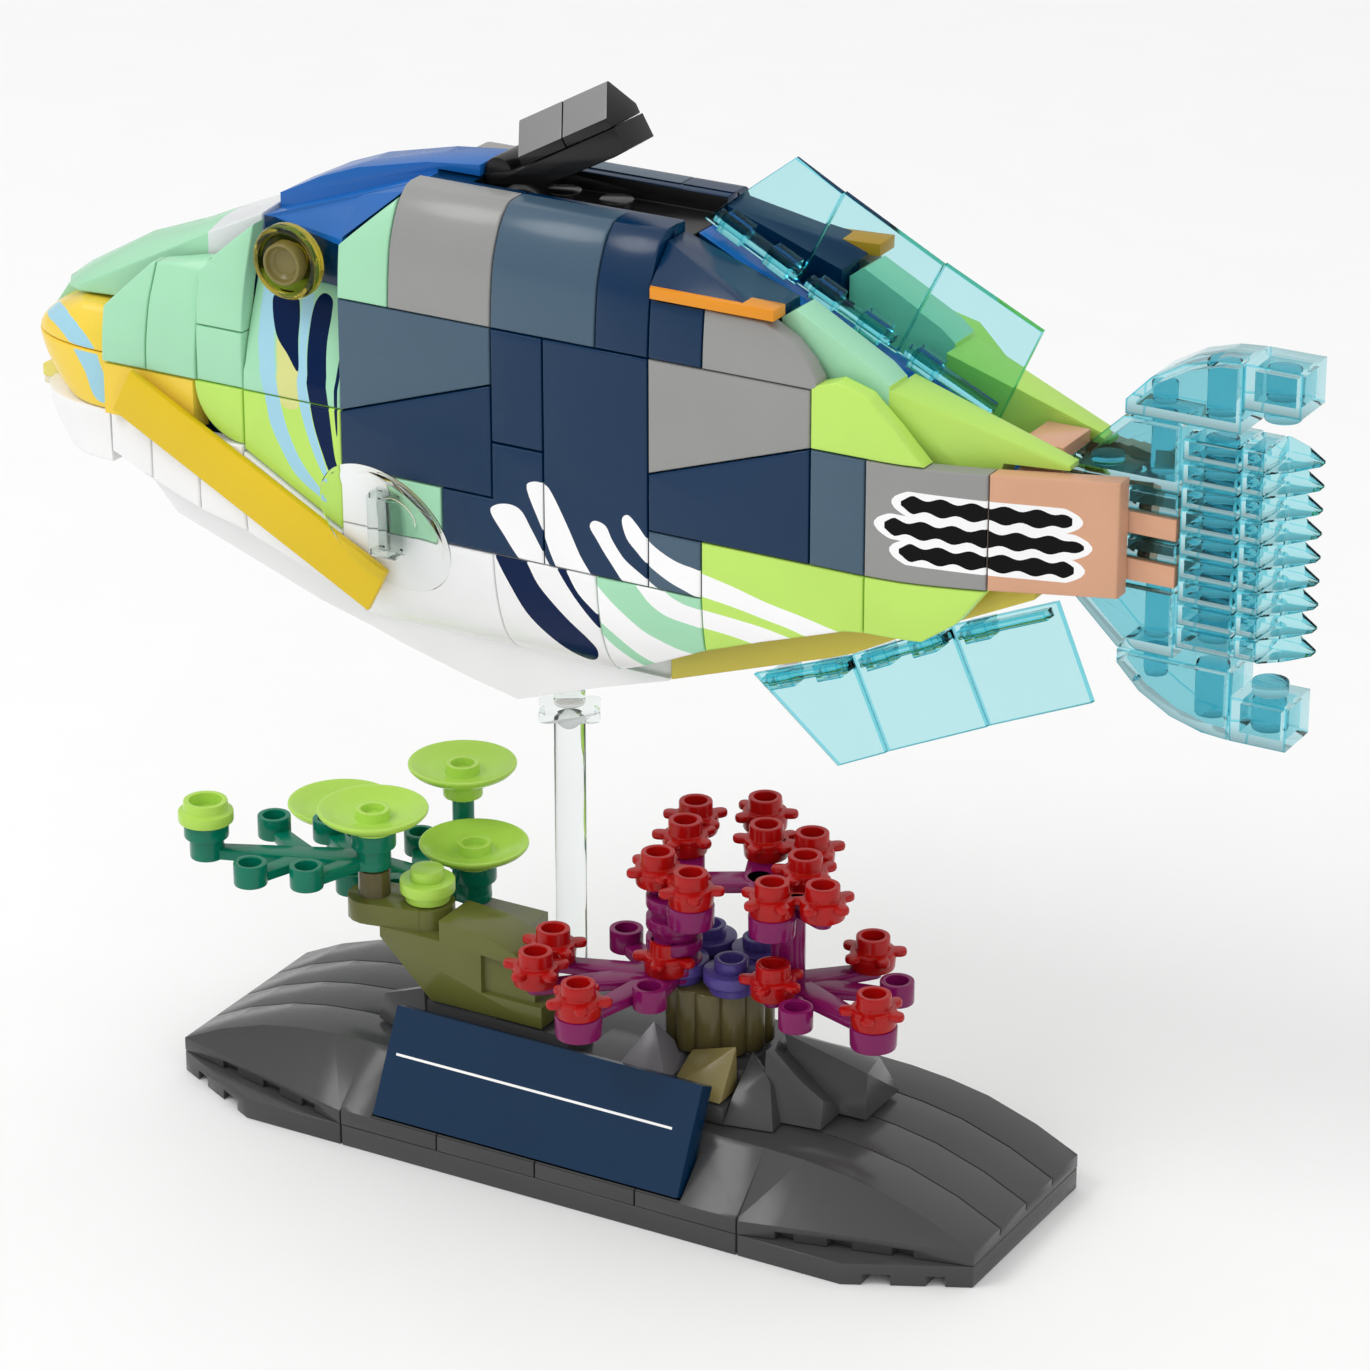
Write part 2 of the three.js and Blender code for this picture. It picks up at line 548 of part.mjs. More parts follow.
function spine() {
  const foot = block(-18.3, -12.2, -3.5, 3.5, 137.2, 141.4);
  const bar = prismXZ([
    [-18.3, 139.8], [-18.3, 141.2], [-15, 142], [3.9, 150.1], [5.2, 147.6], [0.7, 145],
    [-8.9, 139.9],
  ], -3.9, 3.9);
  const wedge = prismXZ([
    [-15.6, 141.4], [-15, 147.3], [-8.2, 150.6], [-1.3, 154.5], [2.8, 152.1], [3.9, 149.8],
  ], -3.9, 3.9);
  const bevel = prismYZ([[-3.9, 138], [3.9, 138], [3.9, 160], [0.4, 160]], -20, 8);
  const line = [[-8.4, 138], [-8.1, 138], [-8.1, 160], [-8.4, 160]];
  const seam = prismXZ(line, -4, 4).subtract(prismYZ([[-3.5, 130], [3.5, 130], [3.5, 150],
    [0.6, 150.5]], -20, 8));
  return join(foot, bar, cut(wedge.intersect(bevel), seam.intersect(block(-9, -7, -4, 4, 147, 156))));
}

// Fins of three flat panes, each overlapping the next
const DORSAL = {
  base: [[13.8, 138.4], [27.3, 131.5], [41.9, 124.5], [56.6, 117.6]],
  edge: [[27.2, 148.7], [34.1, 145], [48.5, 137.6], [62.6, 130.9]],
};
const ANAL = {
  base: [[21.5, 75.2], [36, 80.8], [50.5, 87.9], [65.8, 94.4]],
  edge: [[34.5, 64.5], [41.7, 68], [56.4, 74.8], [71.3, 81.3]],
};

function panes({ base, edge }, clipLift) {
  const sheets = [0, 1, 2].map((i) => {
    const y = (i - 1) * 0.45;
    return prismXZ([base[i], base[i + 1], edge[i + 1], edge[i]], y - 0.5, y + 0.5);
  });
  const clips = [0.3, 0.7].map((t) => [0, 1, 2].map((i) => {
    const x = base[i][0] + t * (base[i + 1][0] - base[i][0]);
    const z = base[i][1] + t * (base[i + 1][1] - base[i][1]);
    return block(x - 1.6, x + 1.6, -1.9, 1.9, z + Math.min(0, clipLift), z + Math.max(0, clipLift));
  })).flat();
  return { sheets, clips };
}

function dorsal() {
  const { sheets, clips } = panes(DORSAL, 2.6);
  return join(sheets, clips);
}

function anal() {
  const { sheets, clips } = panes(ANAL, -2.6);
  return join(sheets, clips);
}

// Tail fin: stacked clear bricks, a toothed rear edge, alike above and below the mid line
const TAIL_X = 68.2;
const TAIL_HALF = 3.9;
const TEETH = 9;

function tailFin() {
  const upper = [
    [27.3, 14.4], [24, 14.4], [24, 19.4], [32, 19.4], [32, 25.6], [24, 25.6], [20.3, 25.3],
    [15.8, 24], [11.3, 21.4], [8, 18], [8, 16], [0, 8.4],
  ];
  const slots = [
    [0, 6.5], [8, 6.5], [8, 3.35], [16.1, 3.35], [16.1, -0.15], [8, -0.15], [8, -3.05],
    [16.1, -3.05], [16.1, -6.55], [0, -6.55],
  ];
  const lower = upper.map(([u, h]) => [u, -h]).reverse();
  const profile = [...upper, ...slots, ...lower].map(([u, h]) => [TAIL_X + u, MID_Z + h]);
  const body = prismXZ(profile, -TAIL_HALF, TAIL_HALF);
  const studs = [MID_Z + 19.6 - STUD_H, MID_Z - 19.6].map((z) => drum(
    STUD_R, STUD_H, [TAIL_X + 28, 0, z]));
  const teeth = Array.from({ length: TEETH }, (_, i) => {
    const z = MID_Z + (i - (TEETH - 1) / 2) * PLATE;
    return [[27.2, TAIL_HALF - 0.1, 1.5], [33.8, 0.9, 0.3]].flatMap(([u, y, h]) => [
      [TAIL_X + u, -y, z - h], [TAIL_X + u, y, z - h], [TAIL_X + u, -y, z + h],
      [TAIL_X + u, y, z + h],
    ]);
  }).map(hull);
  const grooves = Array.from({ length: TEETH }, (_, i) => {
    const z = MID_Z + (i - (TEETH - 1) / 2) * PLATE;
    return SIDES.map(([, s]) => block(TAIL_X + 17, TAIL_X + 23.2, s * (TAIL_HALF - 0.4),
      s * 5, z - SEAM / 2, z + SEAM / 2));
  }).flat();
  return join(cut(body, grooves), studs, teeth);
}

function peduncle() {
  const inner = 3.6;
  const nose = prismXY([[61.9, -9], [77, -inner], [77, inner], [61.9, 9]], 99.9, 113.7);
  const top = block(61.9, 68, -4, 4, 113.6, 117.5);
  const plates = [[0, PLATE], [-2 * PLATE, -PLATE]].map(([low, high]) => block(
    76, TAIL_X + 15.75, -TAIL_HALF, TAIL_HALF, MID_Z + low + 0.15, MID_Z + high - 0.15));
  const room = block(TAIL_X - GAP, 78, -TAIL_HALF - GAP, TAIL_HALF + GAP, 90, MID_Z - 6.25);
  const slot = block(TAIL_X + 7.7, 78, -5, 5, MID_Z - PLATE, MID_Z);
  const slotTop = block(TAIL_X + 7.7, 78, -5, 5, MID_Z + PLATE, 114);
  return cut(join(nose, top, plates), room, slot, slotTop);
}

// Stand

const domeLine = [[64, 5.3], [57.5, 8.4], [50, 10.9], [44, 12], [38, 12.6], [32, DECK_Z]];

function basePlate() {
  const cutX = 16;
  const cutY = 8;
  const ring = [
    [-BASE_X, -BASE_Y + cutY], [-BASE_X + cutX, -BASE_Y], [BASE_X - cutX, -BASE_Y],
    [BASE_X, -BASE_Y + cutY], [BASE_X, BASE_Y - cutY], [BASE_X - cutX, BASE_Y],
    [-BASE_X + cutX, BASE_Y], [-BASE_X, BASE_Y - cutY],
  ];
  const plate = prismXY(ring, 0, PLATE);
  const seams = [-32, 32].flatMap((x) => SIDES.map(([, s]) => block(
    x - SEAM / 2, x + SEAM / 2, s * (BASE_Y - SEAM_DEPTH), s * (BASE_Y + 1), 0, PLATE)));
  const hollows = [[-58, -34], [-30, -4], [4, 30], [34, 58]].map(([x0, x1]) => block(
    x0, x1, -13.5, 13.5, -1, 1.7));
  const notches = [-1, 1].flatMap((end) => SIDES.flatMap(([, s]) => [
    block(end * 50.5, end * 54, s * 17, s * 26, -1, 1.6),
    block(end * 58.3, end * 60.6, s * 15.5, s * 22, -1, 1.5),
  ]));
  return cut(plate, seams, hollows, notches);
}

const PLAQUE = {
  x0: -26.6, x1: 22.8,
  section: [[-24, 6.3], [-17, 20.4], [-14.1, 19], [-21.1, 4.9]],
};

function domes() {
  const z0 = PLATE + GAP / 2;
  const ring = [
    [-BASE_X, -DOME_Y], [-32, -BASE_Y], [32, -BASE_Y], [BASE_X, -DOME_Y], [BASE_X, DOME_Y],
    [32, BASE_Y], [-32, BASE_Y], [-BASE_X, DOME_Y],
  ];
  const layer = prismXY(ring, z0, LEDGE_Z - 0.3);
  const ledge = block(-32, 32, -BASE_Y, BASE_Y, z0, LEDGE_Z);
  const left = domeLine.map(([x, z]) => [-x, z]);
  const dome = prismXZ([[BASE_X, z0], ...domeLine, ...left.reverse(), [-BASE_X, z0]],
    -DOME_Y, DOME_Y);
  const edgeY = (x) => DOME_Y + ((BASE_Y - DOME_Y) * (BASE_X - x)) / 32;
  const flanks = [-1, 1].flatMap((end) => SIDES.flatMap(([, s]) => (
    domeLine.slice(1).map(([x, z], i) => {
      const [xa, za] = domeLine[i];
      const low = LEDGE_Z - 0.4;
      return hull([[xa, za], [x, z]].flatMap(([px, pz]) => [
        [end * px, s * (DOME_Y - 0.5), low - 1], [end * px, s * (DOME_Y - 0.01), pz],
        [end * px, s * (DOME_Y - 0.5), pz - 0.05],
        [end * px, s * edgeY(px), low], [end * px, s * edgeY(px), low - 1],
      ]));
    }))));
  const middle = SIDES.map(([, s]) => prismYZ([
    [s * (DOME_Y - 0.5), z0], [s * BASE_Y, z0], [s * BASE_Y, LEDGE_Z], [s * DOME_Y, DECK_Z],
    [s * (DOME_Y - 0.5), DECK_Z],
  ], -32.02, 32.02));
  const body = join(layer, ledge, dome, flanks, middle);
  const strips = [-8, 0, 8].flatMap((y) => [-1, 1].map((end) => block(
    end * 30, end * 65, y - SEAM / 2, y + SEAM / 2, 0, 20))).map((slab) => slab.subtract(
    prismXZ([[65, 0], ...beside(domeLine, SEAM_DEPTH), ...beside(domeLine, SEAM_DEPTH)
      .map(([x, z]) => [-x, z]).reverse(), [-65, 0]], -20, 20)));
  const tiles = [-2, -1, 0, 1, 2].map((n) => block(
    n * 16 - SEAM / 2, n * 16 + SEAM / 2, -BASE_Y - 1, -BASE_Y + SEAM_DEPTH, 0, 8));
  const windows = [-1, 1].flatMap((end) => SIDES.flatMap(([, s]) => [
    [38.5, 2.6, 21.3], [46, 3.4, 19.4], [54.5, 3, 17.3]].map(([x, w, y]) => block(
    end * (x - w / 2), end * (x + w / 2), s * y, s * 25, z0 - 1, LEDGE_Z - 1.1))));
  const rest = inset(PLAQUE.section, -GAP);
  const plaqueRoom = prismYZ(rest, PLAQUE.x0 - GAP, PLAQUE.x1 + GAP);
  const plaqueFront = prismYZ([[-26, LEDGE_Z], [-23.8, LEDGE_Z], [-16.6, 20.6], [-26, 20.6]],
    PLAQUE.x0 - GAP, PLAQUE.x1 + GAP);
  const socket = drum(ROD_R + GAP, 10, [ROD_X, 0, DECK_Z - 1.2], 16);
  return cut(body, strips, tiles, windows, plaqueRoom, plaqueFront, socket);
}

function plaque() {
  return prismYZ(PLAQUE.section, PLAQUE.x0, PLAQUE.x1);
}

// Rod with a petal collar just under the keel
function rod() {
  const top = 66.4;
  const stick = drum(ROD_R, top - DECK_Z + 0.9, [ROD_X, 0, DECK_Z - 0.9], 16);
  const petals = Array.from({ length: 6 }, (_, i) => {
    const a = (i * Math.PI) / 3;
    return drum(1.5, 2.2, [ROD_X + 3.4 * Math.cos(a), 3.4 * Math.sin(a), 62.2], 6);
  });
  return join(stick, petals, drum(3.6, 2, [ROD_X, 0, 62.3], 16));
}

// Rocks behind the plaque: a raised floor, two steps and cut faces at the right
function rocks() {
  const z0 = DECK_Z + GAP;
  const floor = block(-1.2, 24, -13.6, -0.2, z0, 15.7);
  const seat = cut(block(8, 24, -8, 8, z0, 18.9), block(6, 15.1, -9, -5.2, 15.7, 30));
  const left = block(-24, -12.6, -13, -5.6, z0, 20.1);
  const shelf = block(-12.7, -1, -13, -6, z0, 19.9);
  const leftRock = hull([
    [-34.5, -9.5, z0], [-35, -4, z0], [-24, -13.4, z0], [-24, -4, z0], [-34, -8.6, 16.8],
    [-26.5, -10, 20], [-24, -5, 19.4], [-33.6, -5, 16],
  ]);
  const rightFront = hull([
    [24, -13.4, z0], [31, -12, z0], [30, -4, z0], [23, -4, z0], [24.4, -11.6, 16.5],
    [28.6, -8.4, 18.5], [24, -5, 20.6],
  ]);
  const rightMid = hull([
    [28, -9.4, z0], [36.4, -8.2, z0], [36.4, -1, z0], [25, 0, z0], [35.8, -6.4, 16.6],
    [26.8, -6.4, 22], [26, -1, 21],
  ]);
  const rightBack = hull([
    [30, -3, z0], [40.4, -2.6, z0], [40.4, 7.5, z0], [26, 7.5, z0], [40, -1.4, 19.6],
    [38, 6, 18.4], [26.8, -1, 22.4], [24, 4, 20],
  ]);
  const rodRoom = drum(ROD_R + GAP, 30, [ROD_X, 0, 0], 16);
  return cut(join(floor, seat, left, shelf, leftRock, rightFront, rightMid, rightBack), rodRoom);
}

// Small round pieces, all on upright axes
const ROUND_R = 3.95;
const BARREL_R = 3.2;

function roundPlate([x, y, z], withStud = true) {
  const body = turned([[0, 0], [BARREL_R, 0], [BARREL_R, 1.4], [ROUND_R, 1.4], [ROUND_R, PLATE],
    [0, PLATE]], [x, y, z]);
  return withStud ? join(body, drum(STUD_R, STUD_H + 0.2, [x, y, z + PLATE - 0.2])) : body;
}

function roundPlateUpsideDown([x, y, z]) {
  return turned([[0, 0], [ROUND_R, 0], [ROUND_R, 1.7], [BARREL_R, 1.7], [BARREL_R, PLATE],
    [STUD_R, PLATE], [STUD_R, 1.6], [0, 1.6]], [x, y, z]);
}

function dish([x, y, z]) {
  return turned([
    [0, 0], [BARREL_R, 0], [BARREL_R, 0.6], [7.3, 2.3], [7.9, 3], [7.9, 3.5], [7.3, 3.5],
    [3.4, 1.8], [3.3, 3.3], [STUD_R, 3.3], [STUD_R, 1.9], [0, 1.9],
  ], [x, y, z], 16);
}

// Flat branching plate: arms from a boss to cups, all on one level
const ARM_THICK = 1.6;
const CUP_H = 3.3;

function arm([x0, y0], [x1, y1], z, wide, narrow) {
  const [nx, ny] = leftNormal([x0, y0], [x1, y1]);
  return prismXY([
    [x0 + nx * wide, y0 + ny * wide], [x0 - nx * wide, y0 - ny * wide],
    [x1 - nx * narrow, y1 - ny * narrow], [x1 + nx * narrow, y1 + ny * narrow],
  ], z, z + ARM_THICK);
}

const leafCup = ([x, y], z) => cup(STUD_R, STUD_HOLE_R, CUP_H, 2.3, [x, y, z], 8);

function leafPoint([x, y], turn, along, across) {
  const a = THREE.MathUtils.degToRad(turn);
  return [x + along * Math.cos(a) - across * Math.sin(a),
    y + along * Math.sin(a) + across * Math.cos(a)];
}

function leaf(boss, turn, z) {
  const at = (along, across) => leafPoint(boss, turn, along, across);
  const stem = at(24, 0);
  const branches = [8, 16].flatMap((along) => [-8, 8].map((across) => [
    at(along - 6.5, 0), at(along, across)]));
  return join(
    arm(boss, stem, z, 2.6, 1.1),
    branches.map(([from, to]) => arm(from, to, z, 1.7, 1.2)),
    branches.map(([, to]) => leafCup(to, z)),
    drum(STUD_R, CUP_H, [...stem, z]),
    drum(STUD_R, CUP_H, [...boss, z]),
  );
}

// Plant: olive trunk, two teal leaf plates, lime dishes
const LEAF_A = { boss: [-34.4, -10], turn: 201.7, z: 37.3 };
const LEAF_B = { boss: [-26.5, 4], turn: 174.6, z: 28.2 };
const TRUNK_Z = 20.4;

function trunk() {
  const wall = prismXZ([[-31.5, 30], [-31.5, 28.4], [-23.2, TRUNK_Z], [-14.8, TRUNK_Z],
    [-14.8, 30]], -13.4, -5.6);
  const foot = block(-14.9, -5, -13.4, -6, TRUNK_Z, 23.6);
  const second = block(-14.9, -6.6, -12.4, -6, 23.5, 29.4);
  const [sx, sy] = leafPoint(LEAF_A.boss, 12.2, PITCH, 0);
  const [ex, ey] = leafPoint(LEAF_A.boss, 12.2, 4, 0);
  const bar = new THREE.BoxGeometry(PITCH, PITCH - 0.2, PLATE);
  bar.rotateZ(THREE.MathUtils.degToRad(12.2));
  bar.translate(ex, ey, 31.5);
  const ends = [LEAF_A.boss, [sx, sy]].map(([x, y]) => drum(ROUND_R - 0.05, PLATE, [x, y, 29.9], 16));
  const slope = prismXZ([[-21.6, 29.9], [-21.6, 33.2], [-14, 32.6], [-9.4, 31],
    [-8.4, 30.2], [-8.4, 28.6], [-10, 29.2]], -13.4, -5.6);
  const pin = drum(2.3, 37 - 33, [...LEAF_A.boss, 33]);
  const support = block(-27, -15.5, -5.7, 6, 23.6, 27.9);
  const neck = block(-24, -16, -6, -1, 23.6, 27.9);
  return join(wall, foot, second, solid(bar), ends, slope, pin, support, neck);
}

function leafUpper() {
  const tip = leafPoint(LEAF_A.boss, LEAF_A.turn, 24, 0);
  const top = LEAF_A.z + CUP_H;
  return join(leaf(LEAF_A.boss, LEAF_A.turn, LEAF_A.z),
    drum(3.25, 2.5, [...tip, top - 0.1], 16), drum(3.25, 2.5, [...LEAF_A.boss, top - 0.1], 16),
    roundPlateUpsideDown([...tip, top + 2.3]), dish([...LEAF_A.boss, top + 2.3]));
}

function leafLower() {
  const tip = leafPoint(LEAF_B.boss, LEAF_B.turn, 24, 0);
  const high = leafPoint(LEAF_B.boss, LEAF_B.turn, 8, -8);
  const top = LEAF_B.z + CUP_H;
  return join(leaf(LEAF_B.boss, LEAF_B.turn, LEAF_B.z),
    drum(3.2, 2.5, [...LEAF_B.boss, top - 0.1], 16), drum(3.2, 2.5, [...tip, top - 0.1], 16),
    dish([...LEAF_B.boss, top + 2.3]), dish([...tip, top + 2.3]),
    drum(1.6, 11, [...high, top - 2.8]), drum(2.9, 1.8, [...high, top + 8]),
    dish([...high, top + 9.7]));
}

// Coral: fluted column with round plates on top, then branches that end in flower studs
const COLUMN = [16, 0];
const COLUMN_Z = 19.2;
const LOWER_Z = 29.1;
const UPPER_Z = 41.6;

function column() {
  const lobes = 12;
  const outline = Array.from({ length: lobes * 4 }, (_, i) => {
    const a = (i * 2 * Math.PI) / (lobes * 4);
    const r = i % 4 < 2 ? 7.8 : 6.9;
    return [COLUMN[0] + r * Math.cos(a), COLUMN[1] + r * Math.sin(a)];
  });
  const shaft = prismXY(outline, COLUMN_Z, COLUMN_Z + BRICK);
  const top = COLUMN_Z + BRICK - 0.1;
  const lobesTop = [[4, -4, true], [-4, 4, true], [4, 4, false]].map(([x, y, stud]) => roundPlate(
    [COLUMN[0] + x, COLUMN[1] + y, top], stud));
  const slope = hull([
    [15.2, -13.3, 16], [23.4, -13.3, 16], [23.4, -8.2, 16], [15.2, -8.2, 16],
    [15.2, -9.6, 17.6], [20.4, -11.6, 16.6], [23.2, -8.2, 22.6], [16.2, -8.2, 20.4],
  ]);
  const bridge = block(17, 21, -8.6, -5, 19.2, 20.2);
  return join(shaft, lobesTop, slope, bridge);
}

function pyramid() {
  const cone = hull([[6.9, -13.4, 16], [14.8, -13.4, 16], [14.8, -5.5, 16], [6.9, -5.5, 16],
    [6.9, -13.4, 17.4], [14.8, -13.4, 17.4], [14.8, -5.5, 17.4], [6.9, -5.5, 17.4],
    [10.9, -9.5, 24]]);
  return cut(cone, drum(8.1, 10, [...COLUMN, COLUMN_Z - GAP], 24));
}

const LOWER_LEFT = {
  from: [11.3, -6.7],
  cups: [[1.4, -0.8], [13.3, -14.9]],
  flowers: [[-4.2, -11.3], [-2.6, -18.7], [7.5, -24.2], [11.3, -6.7]],
};
const LOWER_RIGHT = {
  from: [27, -0.6],
  cups: [[41.9, 3.3], [33.6, -10.5]],
  flowers: [[35.4, 8.5], [43.8, -7.2], [27.6, -6]],
};
const UPPER_LEFT = {
  from: [12, -2],
  cups: [],
  flowers: [[5.5, 11.6], [7.4, 5.3], [9.3, -5.6], [16.5, -9.2]],
};
const UPPER_RIGHT = {
  from: [20.5, 3],
  cups: [],
  flowers: [[13.3, 17.6], [17.9, 9.6], [24.7, 10.4], [27.4, 3.4], [27.6, -6.4], [34, -3.8]],
};

// Flower: barrel, a skirt of five petals and a hollow stud on top
const PETALS = 5;

function flower([x, y], z) {
  const stud = turned([[0, 0], [3.3, 0], [3.3, 1.9], [STUD_R, 2.6], [STUD_R, 4.9],
    [STUD_HOLE_R, 4.9], [STUD_HOLE_R, 3.2], [0, 3.2]], [x, y, z], 8);
  const skirt = Array.from({ length: PETALS * 3 }, (_, i) => {
    const a = ((i + x) * 2 * Math.PI) / (PETALS * 3);
    const r = i % 3 === 2 ? 3.1 : 4.8;
    return [x + r * Math.cos(a), y + r * Math.sin(a)];
  });
  return join(stud, prismXY(skirt, z + 1.8, z + 2.8));
}

function branches() {
  const groups = [[LOWER_LEFT, LOWER_Z], [LOWER_RIGHT, LOWER_Z], [UPPER_LEFT, UPPER_Z],
    [UPPER_RIGHT, UPPER_Z]];
  const arms = groups.flatMap(([{ from, cups, flowers }, z]) => [...cups, ...flowers]
    .filter(([x, y]) => Math.hypot(x - from[0], y - from[1]) > 1)
    .map((tip) => arm(from, tip, z, 2.3, 1.1)));
  const cups = groups.flatMap(([{ cups: tips }, z]) => tips.map((tip) => leafCup(tip, z)));
  const blooms = groups.flatMap(([{ flowers }, z]) => flowers.map((tip) => join(
    flower(tip, z + ARM_THICK - 0.1), drum(STUD_R, ARM_THICK, [...tip, z], 8))));
  const stacks = [
    drum(3, UPPER_Z - LOWER_Z + 0.8, [11.4, -4.8, LOWER_Z + 0.1], 12),
    drum(STUD_R, UPPER_Z - LOWER_Z + 0.8, [27, -0.6, LOWER_Z + 0.1], 12),
    arm([12, -2], [20.5, 3], UPPER_Z, 2.3, 2.3),
    arm([20.5, 3], [27, -0.6], UPPER_Z, 2, 2),
  ];
  const barrels = [[16.5, -9.2, UPPER_Z], [27.6, -6.4, UPPER_Z], [43.8, -7.2, LOWER_Z],
    [7.5, -24.2, LOWER_Z]].map(([x, y, z]) => drum(3.3, PLATE, [x, y, z - PLATE + ARM_THICK], 10));
  return join(arms, cups, blooms, stacks, barrels);
}

// Scene graph

const object = new THREE.Group();
const fish = new THREE.Group();
const stand = new THREE.Group();
object.add(fish, stand);

const CLEAR = new Set(['aqua', 'clear', 'eye']);

function addMesh(parent, name, colour, body) {
  const { vertProperties, triVerts } = body.getMesh();
  const geometry = new THREE.BufferGeometry();
  geometry.setAttribute('position', new THREE.BufferAttribute(new Float32Array(vertProperties), 3));
  geometry.setIndex(new THREE.BufferAttribute(new Uint32Array(triVerts), 1));
  const shown = geometry.toNonIndexed();
  shown.computeVertexNormals();
  const material = new THREE.MeshStandardMaterial({
    color: COLOURS[colour], roughness: 0.25, metalness: 0,
  });
  if (CLEAR.has(colour)) {
    material.transparent = true;
    material.opacity = 0.45;
  }
  const mesh = new THREE.Mesh(shown, material);
  mesh.name = name;
  parent.add(mesh);
}

for (const [word, side] of SIDES) {
  for (const [name, [colour, build]] of Object.entries(PANELS)) {
    addMesh(fish, `${name}_${word}`, colour, build(side));
  }
  addMesh(fish, `stripe_${word}`, 'gold', stripe(side));
  addMesh(fish, `pectoral_fin_${word}`, 'clear', pectoral(side));
  addMesh(fish, `eye_${word}`, 'eye', eye(side));
}
addMesh(fish, 'core', 'navy', core());
addMesh(fish, 'keel', 'white', keel());
addMesh(fish, 'belly_mustard', 'mustard', bellyMustard());
addMesh(fish, 'snout', 'yellow', snout());
addMesh(fish, 'jaw', 'white', jaw());
addMesh(fish, 'crest', 'mint', crest());
addMesh(fish, 'brow', 'blue', brow());
addMesh(fish, 'back_deck', 'slate', deck());
addMesh(fish, 'back_ridge', 'navy', ridge());
addMesh(fish, 'fin_bed', 'lime', finBed());
addMesh(fish, 'dorsal_spine', 'black', spine());
addMesh(fish, 'dorsal_fin', 'aqua', dorsal());
addMesh(fish, 'anal_fin', 'aqua', anal());
addMesh(fish, 'tail_fin', 'aqua', tailFin());
addMesh(fish, 'tail_root', 'tan', peduncle());
addMesh(stand, 'stand_plate', 'dark', basePlate());
addMesh(stand, 'stand_rock_base', 'dark', domes());
addMesh(stand, 'stand_plaque', 'plaque', plaque());
addMesh(stand, 'stand_rod', 'clear', rod());
addMesh(stand, 'stand_rocks', 'dark', rocks());
addMesh(stand, 'stand_plant_trunk', 'olive', trunk());
addMesh(stand, 'stand_plant_upper', 'teal', leafUpper());
addMesh(stand, 'stand_plant_lower', 'teal', leafLower());
addMesh(stand, 'stand_coral_column', 'sand', column());
addMesh(stand, 'stand_pyramid_rock', 'grey', pyramid());
addMesh(stand, 'stand_coral', 'magenta', branches());

export default object;
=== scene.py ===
# %% [markdown]
# # A brick-built triggerfish on its stand
# The object is a still display model pressed together from glossy plastic bricks: a fish with
# printed side tiles and see-through fins, held by a clear rod over a rock base with a plant and
# corals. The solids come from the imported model. This lesson dresses them: every visible tile is
# made again with its rounded edges and its print, and each plastic gets a procedural material.

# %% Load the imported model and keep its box
import math

import bmesh
import bpy
import numpy as np
from mathutils import Matrix, Vector
from mathutils.geometry import delaunay_2d_cdt


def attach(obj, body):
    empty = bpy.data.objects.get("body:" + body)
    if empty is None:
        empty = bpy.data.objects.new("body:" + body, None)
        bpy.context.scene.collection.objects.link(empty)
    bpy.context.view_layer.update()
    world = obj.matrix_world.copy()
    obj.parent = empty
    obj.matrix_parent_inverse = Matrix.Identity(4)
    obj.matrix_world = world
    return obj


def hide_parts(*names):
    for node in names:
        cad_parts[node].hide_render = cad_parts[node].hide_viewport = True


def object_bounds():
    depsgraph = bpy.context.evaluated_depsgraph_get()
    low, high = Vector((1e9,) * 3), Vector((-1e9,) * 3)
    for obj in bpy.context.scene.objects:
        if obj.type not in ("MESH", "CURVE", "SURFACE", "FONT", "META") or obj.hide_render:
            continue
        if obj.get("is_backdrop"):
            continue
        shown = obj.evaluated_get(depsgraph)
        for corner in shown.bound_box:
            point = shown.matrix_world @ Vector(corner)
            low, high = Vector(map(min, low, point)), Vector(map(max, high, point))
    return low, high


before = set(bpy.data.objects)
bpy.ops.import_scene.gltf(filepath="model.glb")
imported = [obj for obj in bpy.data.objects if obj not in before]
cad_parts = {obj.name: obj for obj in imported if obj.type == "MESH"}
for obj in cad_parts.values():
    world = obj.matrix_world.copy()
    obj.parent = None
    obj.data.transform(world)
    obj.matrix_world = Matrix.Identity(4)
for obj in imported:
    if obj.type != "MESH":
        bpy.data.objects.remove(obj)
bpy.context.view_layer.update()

MM = 0.001
SIDES = (("port", -1), ("starboard", 1))

# %% [markdown]
# ## Camera
# The view was solved from the base plate, the plaque and the seams of the side tiles, which all
# lie on the 8 mm stud grid. It could be placed by eye, but a solved camera lets a seam measured on
# the photograph be put back on the model, so a long lens at its true distance is used.

# %% Camera
AZIMUTH, ELEVATION = math.radians(29.645), math.radians(23.364)
DISTANCE, SLIDE, RISE, LENS = 750.791, 9.005, 63.032, 138.554

right = Vector((math.cos(AZIMUTH), math.sin(AZIMUTH), 0))
back = Vector((math.sin(AZIMUTH) * math.cos(ELEVATION), -math.cos(AZIMUTH) * math.cos(ELEVATION),
               math.sin(ELEVATION)))
up = back.cross(right)
lens = bpy.data.cameras.new("Camera")
lens.lens, lens.sensor_width = LENS, 36
lens.clip_start, lens.clip_end = 0.05, 20
camera = bpy.data.objects.new("Camera", lens)
bpy.context.collection.objects.link(camera)
bpy.context.scene.camera = camera
camera.location = (right * SLIDE + up * RISE + back * DISTANCE) * MM
camera.rotation_mode = "QUATERNION"
camera.rotation_quaternion = Matrix((right, up, back)).transposed().to_quaternion()
print("camera at mm:", [round(v / MM) for v in camera.location])

